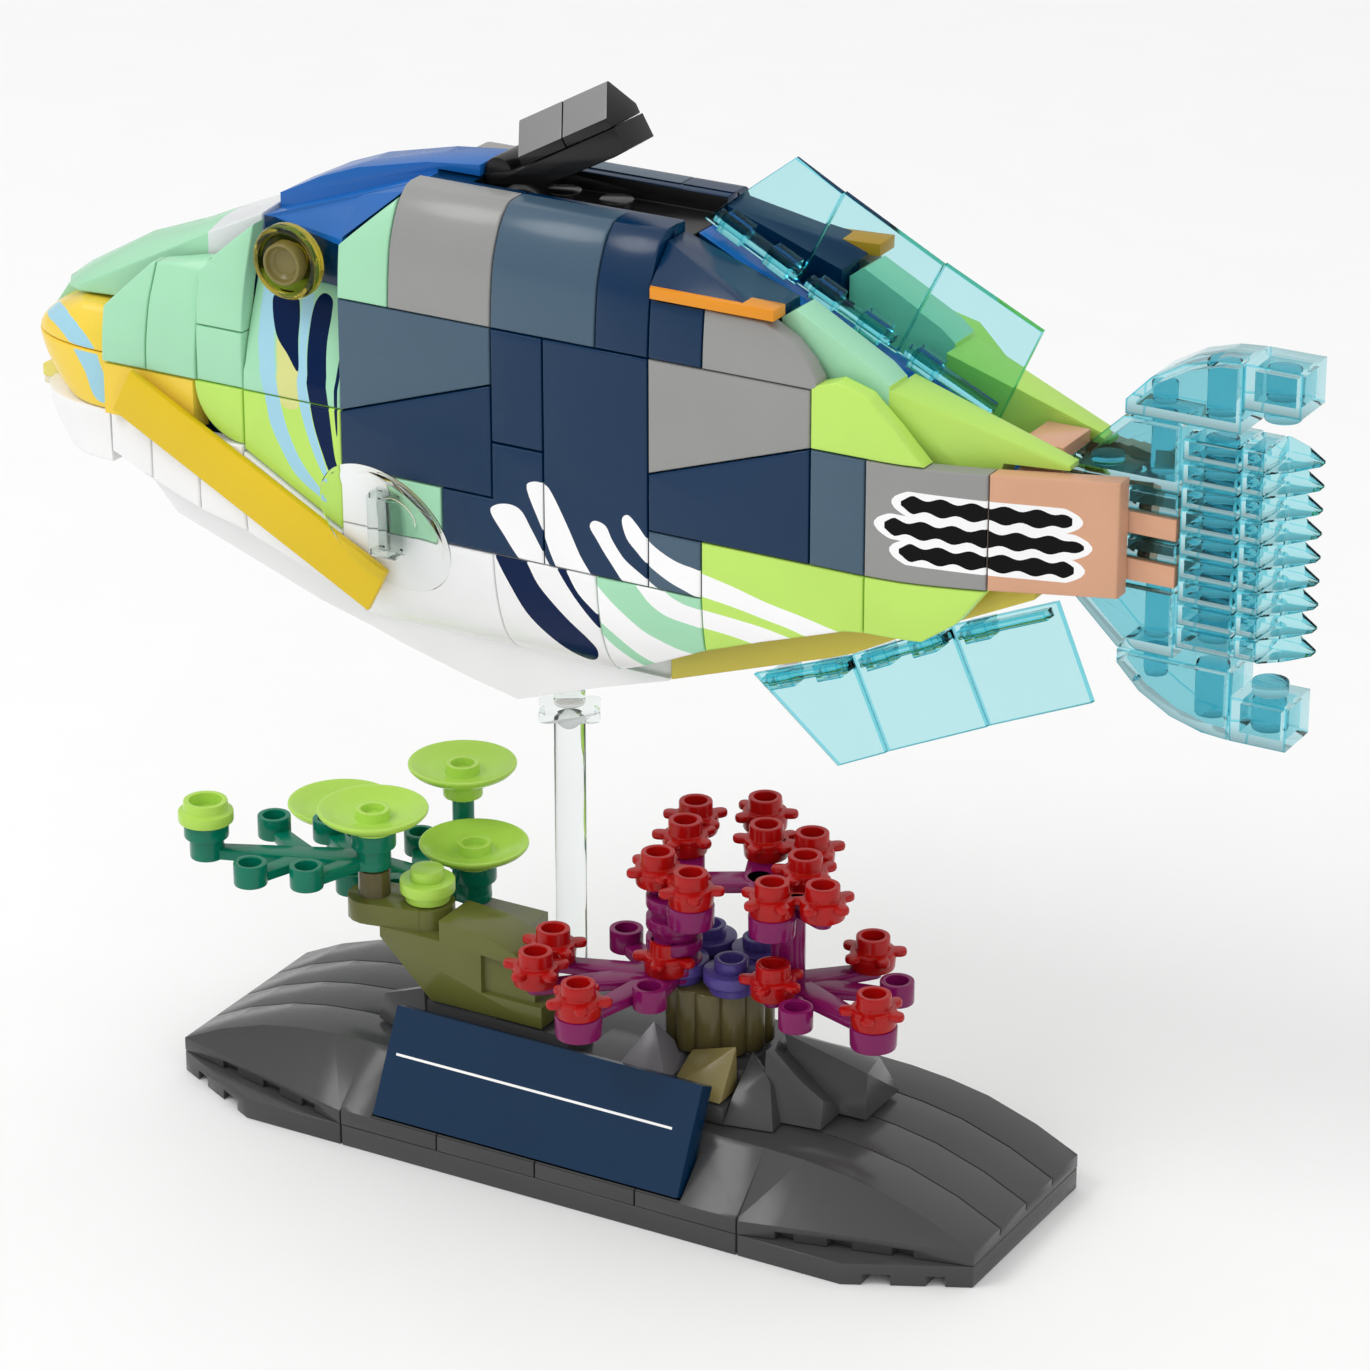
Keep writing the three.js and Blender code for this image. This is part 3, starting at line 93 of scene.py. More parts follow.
# %% [markdown]
# ## Plastic
# All the parts are injection moulded. The skin isn't perfectly even: the tone drifts a little
# where the melt flowed, the gloss varies, and the face has a very slight orange-peel wave. One
# shader group makes those three and every colour uses it with its own values.

# %% Node helpers
def node(tree, kind, values=None, **props):
    made = tree.nodes.new(kind)
    for key, value in props.items():
        setattr(made, key, value)
    for key, value in (values or {}).items():
        made.inputs[key].default_value = value
    return made


def wire(tree, *links):
    """Each link is a node, its output, another node and its input."""
    for source, out, target, into in links:
        tree.links.new(source.outputs[out], target.inputs[into])


def new_group(kind, name, sockets):
    """A node group, its two ends, and what the file calls each of its sockets."""
    group = bpy.data.node_groups.new(name, kind)
    called = {label: group.interface.new_socket(
        label, in_out=way, socket_type=f"NodeSocket{type_name}").identifier
        for label, way, type_name in sockets}
    return group, node(group, "NodeGroupInput"), node(group, "NodeGroupOutput"), called


# %% Shader group for moulded plastic
skin, skin_in, skin_out, _ = new_group("ShaderNodeTree", "Moulded skin", (
    ("Colour", "INPUT", "Color"), ("Drift", "INPUT", "Float"), ("Gloss", "INPUT", "Float"),
    ("Wave", "INPUT", "Float"), ("Colour", "OUTPUT", "Color"), ("Roughness", "OUTPUT", "Float"),
    ("Normal", "OUTPUT", "Vector")))
place = node(skin, "ShaderNodeTexCoord")
slow = node(skin, "ShaderNodeTexNoise", {"Scale": 55, "Detail": 2})
fine = node(skin, "ShaderNodeTexNoise", {"Scale": 900, "Detail": 3})
darkest = node(skin, "ShaderNodeMath", {0: 1}, operation="SUBTRACT")
drift = node(skin, "ShaderNodeMapRange", {"From Min": 0.3, "From Max": 0.7, "To Max": 1})
shade = node(skin, "ShaderNodeHueSaturation")
gloss = node(skin, "ShaderNodeMath", {1: 0.12}, operation="MULTIPLY_ADD")
wave = node(skin, "ShaderNodeBump", {"Distance": 0.0002})
wire(skin, (place, "Object", slow, "Vector"), (place, "Object", fine, "Vector"),
     (slow, "Fac", drift, "Value"), (skin_in, "Drift", darkest, 1),
     (darkest, 0, drift, "To Min"), (drift, "Result", shade, "Value"),
     (skin_in, "Colour", shade, "Color"), (fine, "Fac", gloss, 0), (skin_in, "Gloss", gloss, 2),
     (slow, "Fac", wave, "Height"), (skin_in, "Wave", wave, "Strength"),
     (shade, "Color", skin_out, "Colour"), (gloss, 0, skin_out, "Roughness"),
     (wave, "Normal", skin_out, "Normal"))
print("nodes in the skin:", len(skin.nodes))


# %% Plastics
def linear(code):
    parts = [int(code[i:i + 2], 16) / 255 for i in (0, 2, 4)]
    return (*(c / 12.92 if c <= 0.04045 else ((c + 0.055) / 1.055) ** 2.4 for c in parts), 1)


def plastic(name, code, gloss=0.16, drift=0.06, wave=0.1, shine=None):
    material = bpy.data.materials.new(name)
    material.use_nodes = True
    tree = material.node_tree
    shader = tree.nodes["Principled BSDF"]
    for key, value in {"IOR": 1.38, **(shine or {})}.items():
        shader.inputs[key].default_value = value
    coat = node(tree, "ShaderNodeGroup", {"Colour": linear(code), "Drift": drift, "Gloss": gloss,
                                          "Wave": wave}, node_tree=skin)
    wire(tree, (coat, "Colour", shader, "Base Color"), (coat, "Roughness", shader, "Roughness"),
         (coat, "Normal", shader, "Normal"))
    return material


PLASTICS = {
    "mint": "a4ddb7", "lime": "bee667", "yellow": "f6d44a", "gold": "e4c21a",
    "mustard": "d2c24b", "white": "f6f6f6", "blue": "1765b4", "navy": "002c4f",
    "slate": "455d70", "grey": "959593", "black": "161616", "tan": "d7a383",
    "orange": "e6921a", "print_navy": "001c46", "print_sky": "a3d4e6", "print_straw": "d9dc8e",
    "print_white": "fafafa", "print_black": "020202", "dark": "444445", "stone": "77767a",
    "plaque": "002a49", "teal": "00745a", "olive": "646730", "sand": "5a5230",
    "khaki": "857a4c", "magenta": "7a0f55", "violet": "4d3f86", "red": "aa0c0a",
    "leaf": "b2dc58", "pale": "dfe2e3", "spine_grey": "878787", "tooth": "ece07a",
    "cream": "e9e3c6", "amber_core": "7d7340"}
INK = {"Specular IOR Level": 0.2}  # a print is less glossy than the brick that it lies on
paint = {name: plastic(name, code, shine=INK if name.startswith("print_") else None)
         for name, code in PLASTICS.items()}
print("plastics:", len(paint))

# %% [markdown]
# ## See-through plastic
# The tail, the two long fins, the pectoral discs, the rod and the eyes are tinted or clear
# polycarbonate. It could be faked with alpha, but the real one bends light at its edges and shows
# the studs inside, so it is glass with the tint in its colour and a little variation of gloss.

# %% Clear plastics
# The deep edge tint is painted on cut edges and rims as the glow of light piped through the
# plastic.
CLEAR = {"aqua": ("c0edf1", 1.15), "aqua_edge": ("5accdf", 1.12), "aqua_brick": ("bbe6ec", 1.16),
         "aqua_post": ("93d6e2", 1.1), "aqua_tooth": ("b4e9ef", 1.06), "clear": ("fbfdfc", 1.08),
         "clear_rod": ("f8fbfa", 1.2), "clear_clip": ("f4f9f7", 1.045), "amber": ("a8992c", 1.35)}
for name, (code, ior) in CLEAR.items():
    paint[name] = plastic(name, code, -0.04, 0.03, 0.03, {"IOR": ior, "Transmission Weight": 1})
print("clear plastics:", len(CLEAR))

# %% [markdown]
# ## Making a piece
# Each helper below returns points in millimetres and faces. A few shapes of the base and back
# are good as solids already: for those the node's own mesh is copied and only gets rounded
# edges.

# %% Piece helpers
made_pieces = []


def finish_piece(name, mesh, node_name, smooth=35):
    mesh.shade_smooth()
    mesh.set_sharp_from_angle(angle=math.radians(smooth))
    made = bpy.data.objects.new(name, mesh)
    bpy.context.collection.objects.link(made)
    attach(made, "root")
    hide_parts(node_name)
    made_pieces.append(name)
    print(f"{name}: {len(mesh.polygons)} faces")


def mesh_of(name, points, faces=()):
    mesh = bpy.data.meshes.new(name)
    mesh.from_pydata([tuple(c * MM for c in p) for p in points], [], faces)
    return mesh


def colour_faces(mesh, chosen):
    """Coats the mesh with the plastics that are named in chosen, one name for each face."""
    names = sorted(set(chosen))
    mesh.materials.clear()
    for each in names:
        mesh.materials.append(paint[each])
    mesh.polygons.foreach_set("material_index", [names.index(c) for c in chosen])


class Shape:
    """Points, faces and a material for each face, gathered in millimetres."""

    def __init__(self):
        self.points, self.faces, self.paints = [], [], []

    def add(self, points, faces, colour):
        start = len(self.points)
        self.points += [tuple(p) for p in points]
        self.faces += [[i + start for i in face] for face in faces]
        self.paints += colour if isinstance(colour, list) else [colour] * len(faces)
        return self

    def build(self, name, node_name, smooth=35, outward=True):
        mesh = mesh_of(name, self.points, self.faces)
        colour_faces(mesh, self.paints)
        if outward:
            form = bmesh.new()
            form.from_mesh(mesh)
            bmesh.ops.recalc_face_normals(form, faces=form.faces)
            form.to_mesh(mesh)
            form.free()
        finish_piece(name, mesh, node_name, smooth)


def flatten(form):
    bmesh.ops.dissolve_limit(form, angle_limit=math.radians(2), verts=form.verts,
                             edges=form.edges)


def rounded_copy(node_name, colour, name, width=0.25, segments=2, pick=None, smooth=35, sharp=28,
                 cuts=()):
    """The node's own mesh with rounded edges, cut where a colour ends; pick(centre, normal)
    may choose another paint for a face. Each cut is a point and a direction."""
    form = bmesh.new()
    form.from_mesh(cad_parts[node_name].data)
    bmesh.ops.remove_doubles(form, verts=form.verts, dist=2e-6)
    flatten(form)
    edges = [e for e in form.edges if len(e.link_faces) == 2
             and e.calc_face_angle(0) > math.radians(sharp)]
    bmesh.ops.bevel(form, geom=edges, offset=width * MM, segments=segments, profile=0.5,
                    affect="EDGES", clamp_overlap=True)
    for point, direction in cuts:
        bmesh.ops.bisect_plane(form, geom=form.verts[:] + form.edges[:] + form.faces[:],
                               plane_co=Vector(point) * MM, plane_no=direction, dist=1e-7)
    mesh = bpy.data.meshes.new(name)
    form.to_mesh(mesh)
    form.free()
    colour_faces(mesh, [(pick and pick(p.center / MM, p.normal)) or colour
                        for p in mesh.polygons])
    finish_piece(name, mesh, node_name, smooth)


# %% Outline helpers
def box_outline(x0, x1, z0, z1):
    return [(x0, z0), (x1, z0), (x1, z1), (x0, z1)]


def counter_clockwise(loop):
    loop = [p for p, q in zip(loop, loop[1:] + loop[:1]) if math.dist(p, q) > 1e-4]
    area = sum(a[0] * b[1] - b[0] * a[1] for a, b in zip(loop, loop[1:] + loop[:1]))
    return loop if area > 0 else loop[::-1]


def shrink(loop, d):
    """The closed outline moved in by d on every edge."""
    made, n = [], len(loop)
    for i, p in enumerate(loop):
        before, after = np.subtract(p, loop[i - 1]), np.subtract(loop[(i + 1) % n], p)
        n1 = np.array((-before[1], before[0])) / np.hypot(*before)
        n2 = np.array((-after[1], after[0])) / np.hypot(*after)
        made.append(tuple(np.add(p, d * (n1 + n2) / (1 + n1 @ n2))))
    return made


def soft_line(points, steps=6, closed=False):
    """A smooth line through the points."""
    pts, n, made = [np.array(p, float) for p in points], len(points), []
    for i in range(n if closed else n - 1):
        if closed:
            a, b, c, d = (pts[(i + k) % n] for k in (-1, 0, 1, 2))
        else:
            b, c = pts[i], pts[i + 1]
            a = pts[i - 1] if i else 2 * b - c
            d = pts[i + 2] if i + 2 < n else 2 * c - b
        for t in np.arange(steps) / steps:
            made.append(tuple(0.5 * (2 * b + (c - a) * t + (2 * a - 5 * b + 4 * c - d) * t * t
                                     + (3 * b - a - 3 * c + d) * t ** 3)))
    return made if closed else made + [tuple(pts[-1])]


# %% [markdown]
# ## The fish's side
# The flank is a wall of tiles at 16 mm from the middle. The top and bottom rows are curved slopes,
# and the sides close in towards the tail and the mouth. Each tile is drawn flat, as an outline in
# length and height, cut into triangles together with its printed areas, and then laid on the body
# form with a small round along its rim. So seams, bevels and prints are real edges of the mesh.

# %% Body form
SEAM_X, MID_Z, PITCH = -10.2, 107.6, 8.0  # the grid: one stud is 8 mm


def col(n):
    return SEAM_X + n * PITCH


def row(n):
    return MID_Z + n * PITCH


# Each line below gives the half width at a height, and the last two at a length
BODY = soft_line([(9.6, 75.6), (12.6, 78.6), (14.6, 83), (15.6, 87.4), (16, 91.6)]) + soft_line(
    [(16, 123.6), (15.7, 128.2), (15, 132.8), (13.2, 137), (11.2, 139.2), (9.6, 139.7)])
CHEEK = [
    (15.7, 91.6), (15.7, 107.6), (15.6, 111), (15.2, 113.8), (14.4, 117.3), (12, 122.5),
    (9.4, 125.6)]
NAPE = soft_line([
    (15.5, 91.6), (15.4, 107.6), (15.3, 114.6), (14.3, 121.6), (11.8, 129.2), (11.2, 131.2)])
GILL = soft_line([
    (15.6, 83.6), (15.6, 107.6), (14.9, 111.6), (13.7, 115.8), (11.2, 122.6), (10.8, 124)])
REAR = soft_line([
    (45.8, 16), (51, 15.6), (56, 14.5), (61.8, 12.8), (68, 10.5), (73, 8.7), (78, 6.9)])
PLAN = soft_line([(-74.5, 13.2), (-70, 14.4), (-66.2, 15.1), (-58.2, 15.9), (-50.2, 16)]) + REAR


def half_width(x, z, line):
    side = np.interp(z, [p[1] for p in line], [p[0] for p in line])
    plan = REAR if line is CHEEK else PLAN
    return np.minimum(side, np.interp(x, [p[0] for p in plan], [p[1] for p in plan]))


print("half width at mid height:", half_width(0, MID_Z, BODY), "mm")

# %% Tile helpers
RIM = (0.0, 0.05, 0.14, 0.3)  # the rings of a tile's rounded rim, in from its edge
GRID, JOINT, DEPTH = 1.3, 0.1, 2.7  # the step where a tile bends, half a seam, the thickness


def rim_drop(d):
    r = RIM[-1]
    return np.where(d < r, r - np.sqrt(np.maximum(r * r - (r - np.minimum(d, r)) ** 2, 0)), 0)


def distance_to(loop, points):
    best = np.full(len(points), 1e9)
    for a, b in zip(loop, loop[1:] + loop[:1]):
        a, b = np.array(a), np.array(b)
        t = np.clip(((points - a) @ (b - a)) / ((b - a) @ (b - a)), 0, 1)
        best = np.minimum(best, np.hypot(*(points - a - t[:, None] * (b - a)).T))
    return best


def cut_up(outline, prints, rims, lines):
    """Triangles inside the outline, cut along the prints, the rims and the lines. Gives the flat
    points, and each triangle with the number of the last print it lies in, or 0."""
    areas = [outline, *(counter_clockwise(p) for _, p in prints)]
    coords, edges, loops = [], [], []
    for loop in [*areas, *rims]:
        start, n = len(coords), len(loop)
        coords.extend(Vector(p) for p in loop)
        edges.extend((start + i, start + (i + 1) % n) for i in range(n))
        loops.append(list(range(start, start + n)))
    for a, b in lines:
        edges.append((len(coords), len(coords) + 1))
        coords.extend((Vector(a), Vector(b)))
    verts, _, tris, _, _, owners = delaunay_2d_cdt(coords, edges, loops[:len(areas)], 0, 1e-5)
    kept = [(list(t), max(o)) for t, o in zip(tris, owners) if 0 in o]
    used = sorted({i for t, _ in kept for i in t})
    order = {i: k for k, i in enumerate(used)}
    flat = np.array([tuple(verts[i]) for i in used])
    return flat, [([order[i] for i in t], top) for t, top in kept]


def border(tris):
    """The directed edges round a set of triangles, and their points in order."""
    edges = dict.fromkeys((a, b) for t, _ in tris for a, b in zip(t, t[1:] + t[:1]))
    rim = [(a, b) for a, b in edges if (b, a) not in edges]
    follow, loop = dict(rim), [rim[0][0]]
    while follow[loop[-1]] != loop[0] and len(loop) < len(rim):
        loop.append(follow[loop[-1]])
    return rim, loop


def tile(shape, side, inner, colour, outline, prints=(), line=BODY):
    """Adds one side tile, no deeper than inner. Outline and prints are in length and height; in
    an outline a whole number counts studs along the grid, and any other is in millimetres."""
    spots = [(col(a) if isinstance(a, int) else a, row(b) if isinstance(b, int) else b)
             for a, b in outline]
    ring = shrink(counter_clockwise(spots), JOINT)
    low, high = np.min(ring, axis=0), np.max(ring, axis=0)
    bends = [z for z in np.arange(low[1], high[1], GRID) if z < row(-2) or z > row(0) - 1]
    lanes = [x for x in np.arange(low[0], high[0], 2 * GRID) if x < col(-5) or x > col(7)]
    lines = [((low[0], z), (high[0], z)) for z in bends] + [
        ((x, low[1]), (x, high[1])) for x in lanes]
    flat, tris = cut_up(ring, prints, [shrink(ring, d) for d in RIM[1:]], lines)
    wide = half_width(flat[:, 0], flat[:, 1], line)
    front = wide - rim_drop(distance_to(ring, flat))
    behind = np.maximum(wide - DEPTH, inner)
    n = len(flat)
    points = [(x, side * y, z) for skin_y in (front, behind) for (x, z), y in zip(flat, skin_y)]
    rim, loop = border(tris)
    faces = [t for t, _ in tris] + [[b, a, a + n, b + n] for a, b in rim] + [
        [i + n for i in loop[::-1]]]
    if side > 0:
        faces = [f[::-1] for f in faces]
    shape.add(points, faces, [prints[top - 1][0] if top else colour for _, top in tris]
              + [colour] * (len(rim) + 1))


# %% [markdown]
# ## Prints
# The side carries the species' markings as prints: pale waves that run from the dark flank over
# the belly, sky and navy stripes behind the cheek, and beaded lines on the tail root. Each is one
# smooth closed outline in length and height, and a tile takes only what falls inside it.

# %% Waves of the flank and the belly
def patch(points, steps=4):
    return soft_line(points, steps, True)


def wave_band(top, bottom):
    return soft_line(top, 5) + soft_line(bottom, 5)[::-1]


WAVE_1 = patch([
    (-10.4, 97.6), (-9.6, 98.8), (-7.4, 99.3), (-5.6, 98.7), (-4.2, 96.6), (-2.4, 93.6),
    (-1.2, 91), (-4.6, 90.6), (-6.4, 92.2), (-8.4, 94.8)])
WAVE_2 = patch([
    (-4.7, 102), (-3.8, 103.2), (-2, 103.2), (-0.8, 102.1), (1.4, 98.2), (3.4, 94.2), (5.4, 90.6),
    (0.6, 90.6), (-2.6, 97.2)])
WAVE_3 = patch([
    (5, 98.5), (5.7, 99.5), (7.4, 99.1), (8.4, 97.3), (10.1, 95.1), (11.8, 93.9), (13.6, 92.8),
    (16, 91), (11.4, 90.6), (8, 94.2), (6.1, 96.8)])
WAVE_4 = patch([
    (9.9, 100.4), (10.8, 101.3), (12.2, 100.2), (13.7, 98.5), (15.6, 97.2), (18.3, 96.1),
    (22.5, 95.1), (22.6, 91.6), (19.4, 92.3), (16.6, 93.3), (13.8, 94.9), (12.1, 96.4),
    (10.6, 98)])
NAVY_BIG = patch([
    (-9.9, 92), (-7.6, 91.9), (-5.3, 92), (-3.2, 88.4), (0.4, 84.4), (3.4, 81.4), (4.4, 79.6),
    (3.6, 77.8), (1.6, 77.1), (-1.6, 79.2), (-5.2, 82.9), (-7.6, 87.2)], 5)
NAVY_THIN = patch([(-0.4, 92), (0.9, 92), (3, 88.4), (6.6, 84.8), (6.4, 83), (3, 86.8)], 5)
BELLY_2 = wave_band(
    [(4, 92.4), (5.9, 90.4), (8.5, 87.9), (12.3, 85), (14.9, 83.9), (17.5, 83.1), (20, 82.8)],
    [(4, 86.6), (5.5, 85.2), (7.9, 83.2), (10.2, 81.3), (12.1, 80.1), (15, 79)])
BELLY_1 = wave_band(
    [(4, 84.6), (5.5, 83.3), (7.4, 81.2), (9.7, 79.5), (12, 78.3)],
    [(4, 78.6), (5.5, 77.2), (7, 76.2), (8.6, 75)])
BELLY_3 = wave_band(
    [(14.6, 92.8), (16.4, 91.5), (18.2, 90.6), (21.3, 90), (36.3, 88.7)],
    [(11, 92.6), (12.3, 91.1), (14.1, 89.2), (16.7, 87.9), (21.2, 87.3), (30.5, 86.4)])
LIME_4 = wave_band(
    [(20, 95.6), (26.3, 94.4), (31.7, 93.1), (37, 92.2), (43.4, 90.9)],
    [(20, 92.2), (26.3, 91.5), (31.6, 90.6), (35.6, 89.9), (41, 88.4)])
LIME_3 = wave_band(
    [(20, 90.2), (26.3, 89.8), (31.6, 89.3), (37.6, 88.2)],
    [(20, 87.5), (26.1, 87.1), (30.8, 86.3), (34, 85.4)])
FLANK_PRINT = [("print_white", w) for w in (WAVE_1, WAVE_2, WAVE_3, WAVE_4)]
WHITE_PRINT = [("print_navy", NAVY_BIG), ("print_navy", NAVY_THIN)]
BELLY_PRINT = [("print_white", w) for w in (BELLY_1, BELLY_2, BELLY_3)]
LIME_PRINT = [("print_white", w) for w in (LIME_3, LIME_4)]
print("waves:", len(FLANK_PRINT + WHITE_PRINT + BELLY_PRINT + LIME_PRINT))

# %% Stripes behind the cheek
GILL_PRINT = [
    ("print_sky", patch([
        (-48.6, 124), (-48.4, 115.2), (-46.4, 107), (-45.7, 103.6), (-43.9, 100), (-41.7, 96.8),
        (-38, 94.4), (-36.6, 94.2), (-40.4, 98.4), (-42.6, 102.4), (-44, 107), (-45.9, 115.6),
        (-46.6, 124)])),
    ("print_straw", patch([
        (-45.4, 115.9), (-43.6, 114.4), (-41.5, 112.4), (-41.1, 109.4), (-40.9, 107),
        (-42.4, 106.2), (-44, 107), (-44.7, 111)])),
    ("print_sky", patch([
        (-42.4, 121.6), (-41.6, 114), (-40.9, 107.2), (-39.2, 101.6), (-37.4, 97.8), (-36.4, 96.6),
        (-36.7, 98.4), (-38.6, 104.3), (-39.3, 107.8), (-40, 111.5), (-40.6, 116),
        (-40.6, 121.6)])),
    ("print_navy", patch([
        (-47, 119.8), (-46.4, 121), (-43.4, 121.3), (-42.4, 119.1), (-42, 115.8), (-41.4, 111.6),
        (-43.4, 113.6), (-45.6, 115.9)])),
    ("print_navy", patch([
        (-40.4, 120.2), (-39.3, 122.1), (-37.7, 121.6), (-37.4, 119.6), (-37.4, 116), (-36.9, 112),
        (-36.2, 107.8), (-35.4, 101), (-34.9, 98.8), (-36.1, 98), (-37.4, 101), (-38.5, 104.3),
        (-39.2, 107.7), (-39.9, 111.4), (-40.4, 115.6)])),
    ("print_navy", patch([(-34.8, 116), (-35.3, 111.7), (-35.2, 106), (-34.8, 104)], 3))]
print("stripes:", len(GILL_PRINT))

# %% Beaded lines on the tail root
# The height of each line and its two ends
BEADS = [(110.3, 49.6, 73.2), (106.9, 47.2, 74.4), (103.7, 49.4, 73.6)]
BEAD_STEP, FALL = 3.9, -0.035  # from bead to bead, and down for each millimetre back
TAIL_PRINT = []
for level, start, stop in BEADS:
    x = np.linspace(start, stop, 57)
    z = level + (x - 60) * FALL
    white = 1.5 * np.minimum(1, np.minimum(x - start, stop - x) / 2.2) ** 0.6 + 0.25
    tip = np.clip(np.minimum(x - start - 0.9, stop - 0.8 - x) / 1.9, 0.1, 1) ** 0.7
    black = (1.02 + 0.28 * np.cos((x - start - 2.6) / BEAD_STEP * 2 * math.pi)) * tip
    inside = (x > start + 1) & (x < stop - 0.9)
    for ink, half, held in (("print_white", white, x >= start), ("print_black", black, inside)):
        over, under = (z + half)[held], (z - half)[held]
        TAIL_PRINT.append((ink, [*zip(x[held], over), *zip(x[held][::-1], under[::-1])]))
TAIL_PRINT.sort(key=lambda p: p[0] == "print_black")
print("areas on the tail root:", len(TAIL_PRINT))

# %% [markdown]
# ## Side tiles
# The wall could be one surface with a drawn pattern, but its seams are what shows that it is
# bricks. So the table below is the wall as it is pressed together: each group names the CAD node
# that it replaces and lists its tiles by colour, outline, print and the body line they follow.

# %% Table of the side tiles
quarter = [(col(-5) + PITCH * math.cos(t), MID_Z + PITCH * math.sin(t))
           for t in np.radians(np.linspace(180, 270, 15))]
# In an outline a whole number counts studs on the grid and any other is in millimetres
GROUPS = {
    "cheek": [
        ("mint", [(-73.6, 0), (-7, 0), (-7, 122.3), (-67.1, 122.1), (-73.6, 115.5)], (), CHEEK),
        ("mint", [(-7, 0), (-57.9, 0), (-57.9, 123.9), (-7, 122.3)], (), CHEEK),
        ("mint", box_outline(-57.9, -5, 0, 1), (), NAPE),
        ("mint", [(-57.9, 1), (-5, 1), (-5, 130.3), (-53.4, 127.6), (-56.0, 125.2),
                  (-57.9, 122.9)], (), NAPE)],
    "gill_panel": [
        ("lime", quarter + [(-5, 0)], GILL_PRINT, GILL),
        ("lime", [(-5, 0), (-5, 99.0), (-3, 90.2), (-3, 0)], GILL_PRINT, GILL),
        ("mint", box_outline(-5, -3, 0, 2), GILL_PRINT, GILL)],
    "shoulder": [("mint", [(-3, 2), (-2, 2), (-2, 138.2), (-3, 131.0)])],
    "back_row": [
        ("grey", box_outline(-2, 0, 2, 139.75)), ("slate", box_outline(0, 2, 2, 139.75)),
        ("navy", box_outline(2, 3, 2, 139.75)), ("navy", box_outline(3, 4, 2, 3))],
    "flank_slate": [("slate", [(-3, 0), (0, 1), (0, 2), (-3, 2)])],
    "flank_navy": [
        ("navy", [(-3, 0), (-3, -1), (0, -1), (0, 1)]),
        ("navy", [(-1, -1), (-1, -2), (1, -2), (1, 0), (0, 0), (0, -1)], FLANK_PRINT),
        ("navy", box_outline(0, 1, 0, 2)),
        ("navy", box_outline(1, 3, -2, 2), FLANK_PRINT)],
    "rear_grey": [
        ("grey", [(4, 2), (38.8, 2), (38.7, 125.0), (37.4, 127.0), (34.8, 129.4), (30.8, 131.4),
                  (4, 3)]),
        ("grey", [(3, 0), (6, 1), (6, 2), (3, 2)])],
    "rear_navy": [
        ("navy", [(3, 0), (3, -1), (6, -1), (6, 1)]),
        ("slate", box_outline(6, 7, -1, 1)), ("slate", box_outline(3, 4, -2, -1), FLANK_PRINT)],
    "lime_lower": [
        ("lime", [(4, -1), (4, -3), (31.0, 87.1), (43.0, 91.2), (7, -2), (7, -1)], LIME_PRINT),
        ("lime", [(7, -1), (7, -2), (53.8, -2), (58.2, 94.6), (61.9, -1)])],
    "lime_upper": [("lime", [(6, 1), (53.9, 1), (50.0, 120.2), (45.8, 124.2), (41.5, 125.4),
                             (6, 124.2)])],
    "tail_grey": [("grey", box_outline(7, 9, -1, 1), TAIL_PRINT)],
    "tail_tan": [("tan", box_outline(9, 77.6, -1, 1), TAIL_PRINT)],
    "belly_mint": [("mint", [(2, -2), (2, 75.7), (4, -3), (4, -2)], BELLY_PRINT)],
    "belly_white": [
        ("white", box_outline(-3, -2, -2, -1)), ("mint", box_outline(-2, -1, -2, -1)),
        ("white", box_outline(-3, 0, 75.7, -2)),
        ("white", box_outline(0, 2, 75.7, -2), WHITE_PRINT),
        ("white", [(-5, 98.8), (-5, 86.6), (-3, 79.7), (-3, 90.0)]),
        ("white", [(-57.7, -1), (-57.7, 88.6), (-5, 86.7), (-5, -1)]),
        ("white", [(-7, -1), (-7, 91.3), (-57.7, 88.7), (-57.7, -1)]),
        ("white", [(-8, -1), (-8, 93.4), (-71.7, 92.9), (-7, 91.4), (-7, -1)])],
}
print("tiles on a side:", sum(len(t) for t in GROUPS.values()))

# %% Side tiles
INNER = {"cheek": 8.15}  # the core lies behind these tiles
for word, side in SIDES:
    for group, tiles in GROUPS.items():
        shape = Shape()
        for spec in tiles:
            tile(shape, side, INNER.get(group, 0.0), *spec)
        shape.build(f"{group}_tiles_{word}", f"{group}_{word}", outward=False, smooth=30)

# %% [markdown]
# ## Turned, extruded and hulled parts
# Studs, round plates, cups and dishes are turned shapes; slabs and fin panes are flat outlines
# with a thickness; rocks and wedges are the hull of a few corners. All get a small round on their
# rims, because a moulded edge is never knife sharp and the light on it is what makes a brick look
# like a brick.

# %% Turned helpers
def turned(shape, profile, at, colour, steps=32, axis=(0, 0, 1)):
    """A closed turned form; the profile is [radius, height] from the axis back to the axis."""
    rings = [p for p in profile if p[0] > 1e-6]
    points = [(r * math.cos(t), r * math.sin(t), h) for r, h in rings
              for t in np.arange(steps) * 2 * math.pi / steps]
    around = [(k, (k + 1) % steps) for k in range(steps)]
    faces = [[j + k, j + k1, j + steps + k1, j + steps + k]
             for j in range(0, (len(rings) - 1) * steps, steps) for k, k1 in around]
    first, top = len(points), len(points) - steps
    points += [(0, 0, profile[0][1]), (0, 0, profile[-1][1])]
    faces += [[first, k1, k] for k, k1 in around]
    faces += [[first + 1, top + k, top + k1] for k, k1 in around]
    turn = Vector((0, 0, 1)).rotation_difference(Vector(axis)).to_matrix()
    return shape.add([Vector(at) + turn @ Vector(p) for p in points], faces, colour)


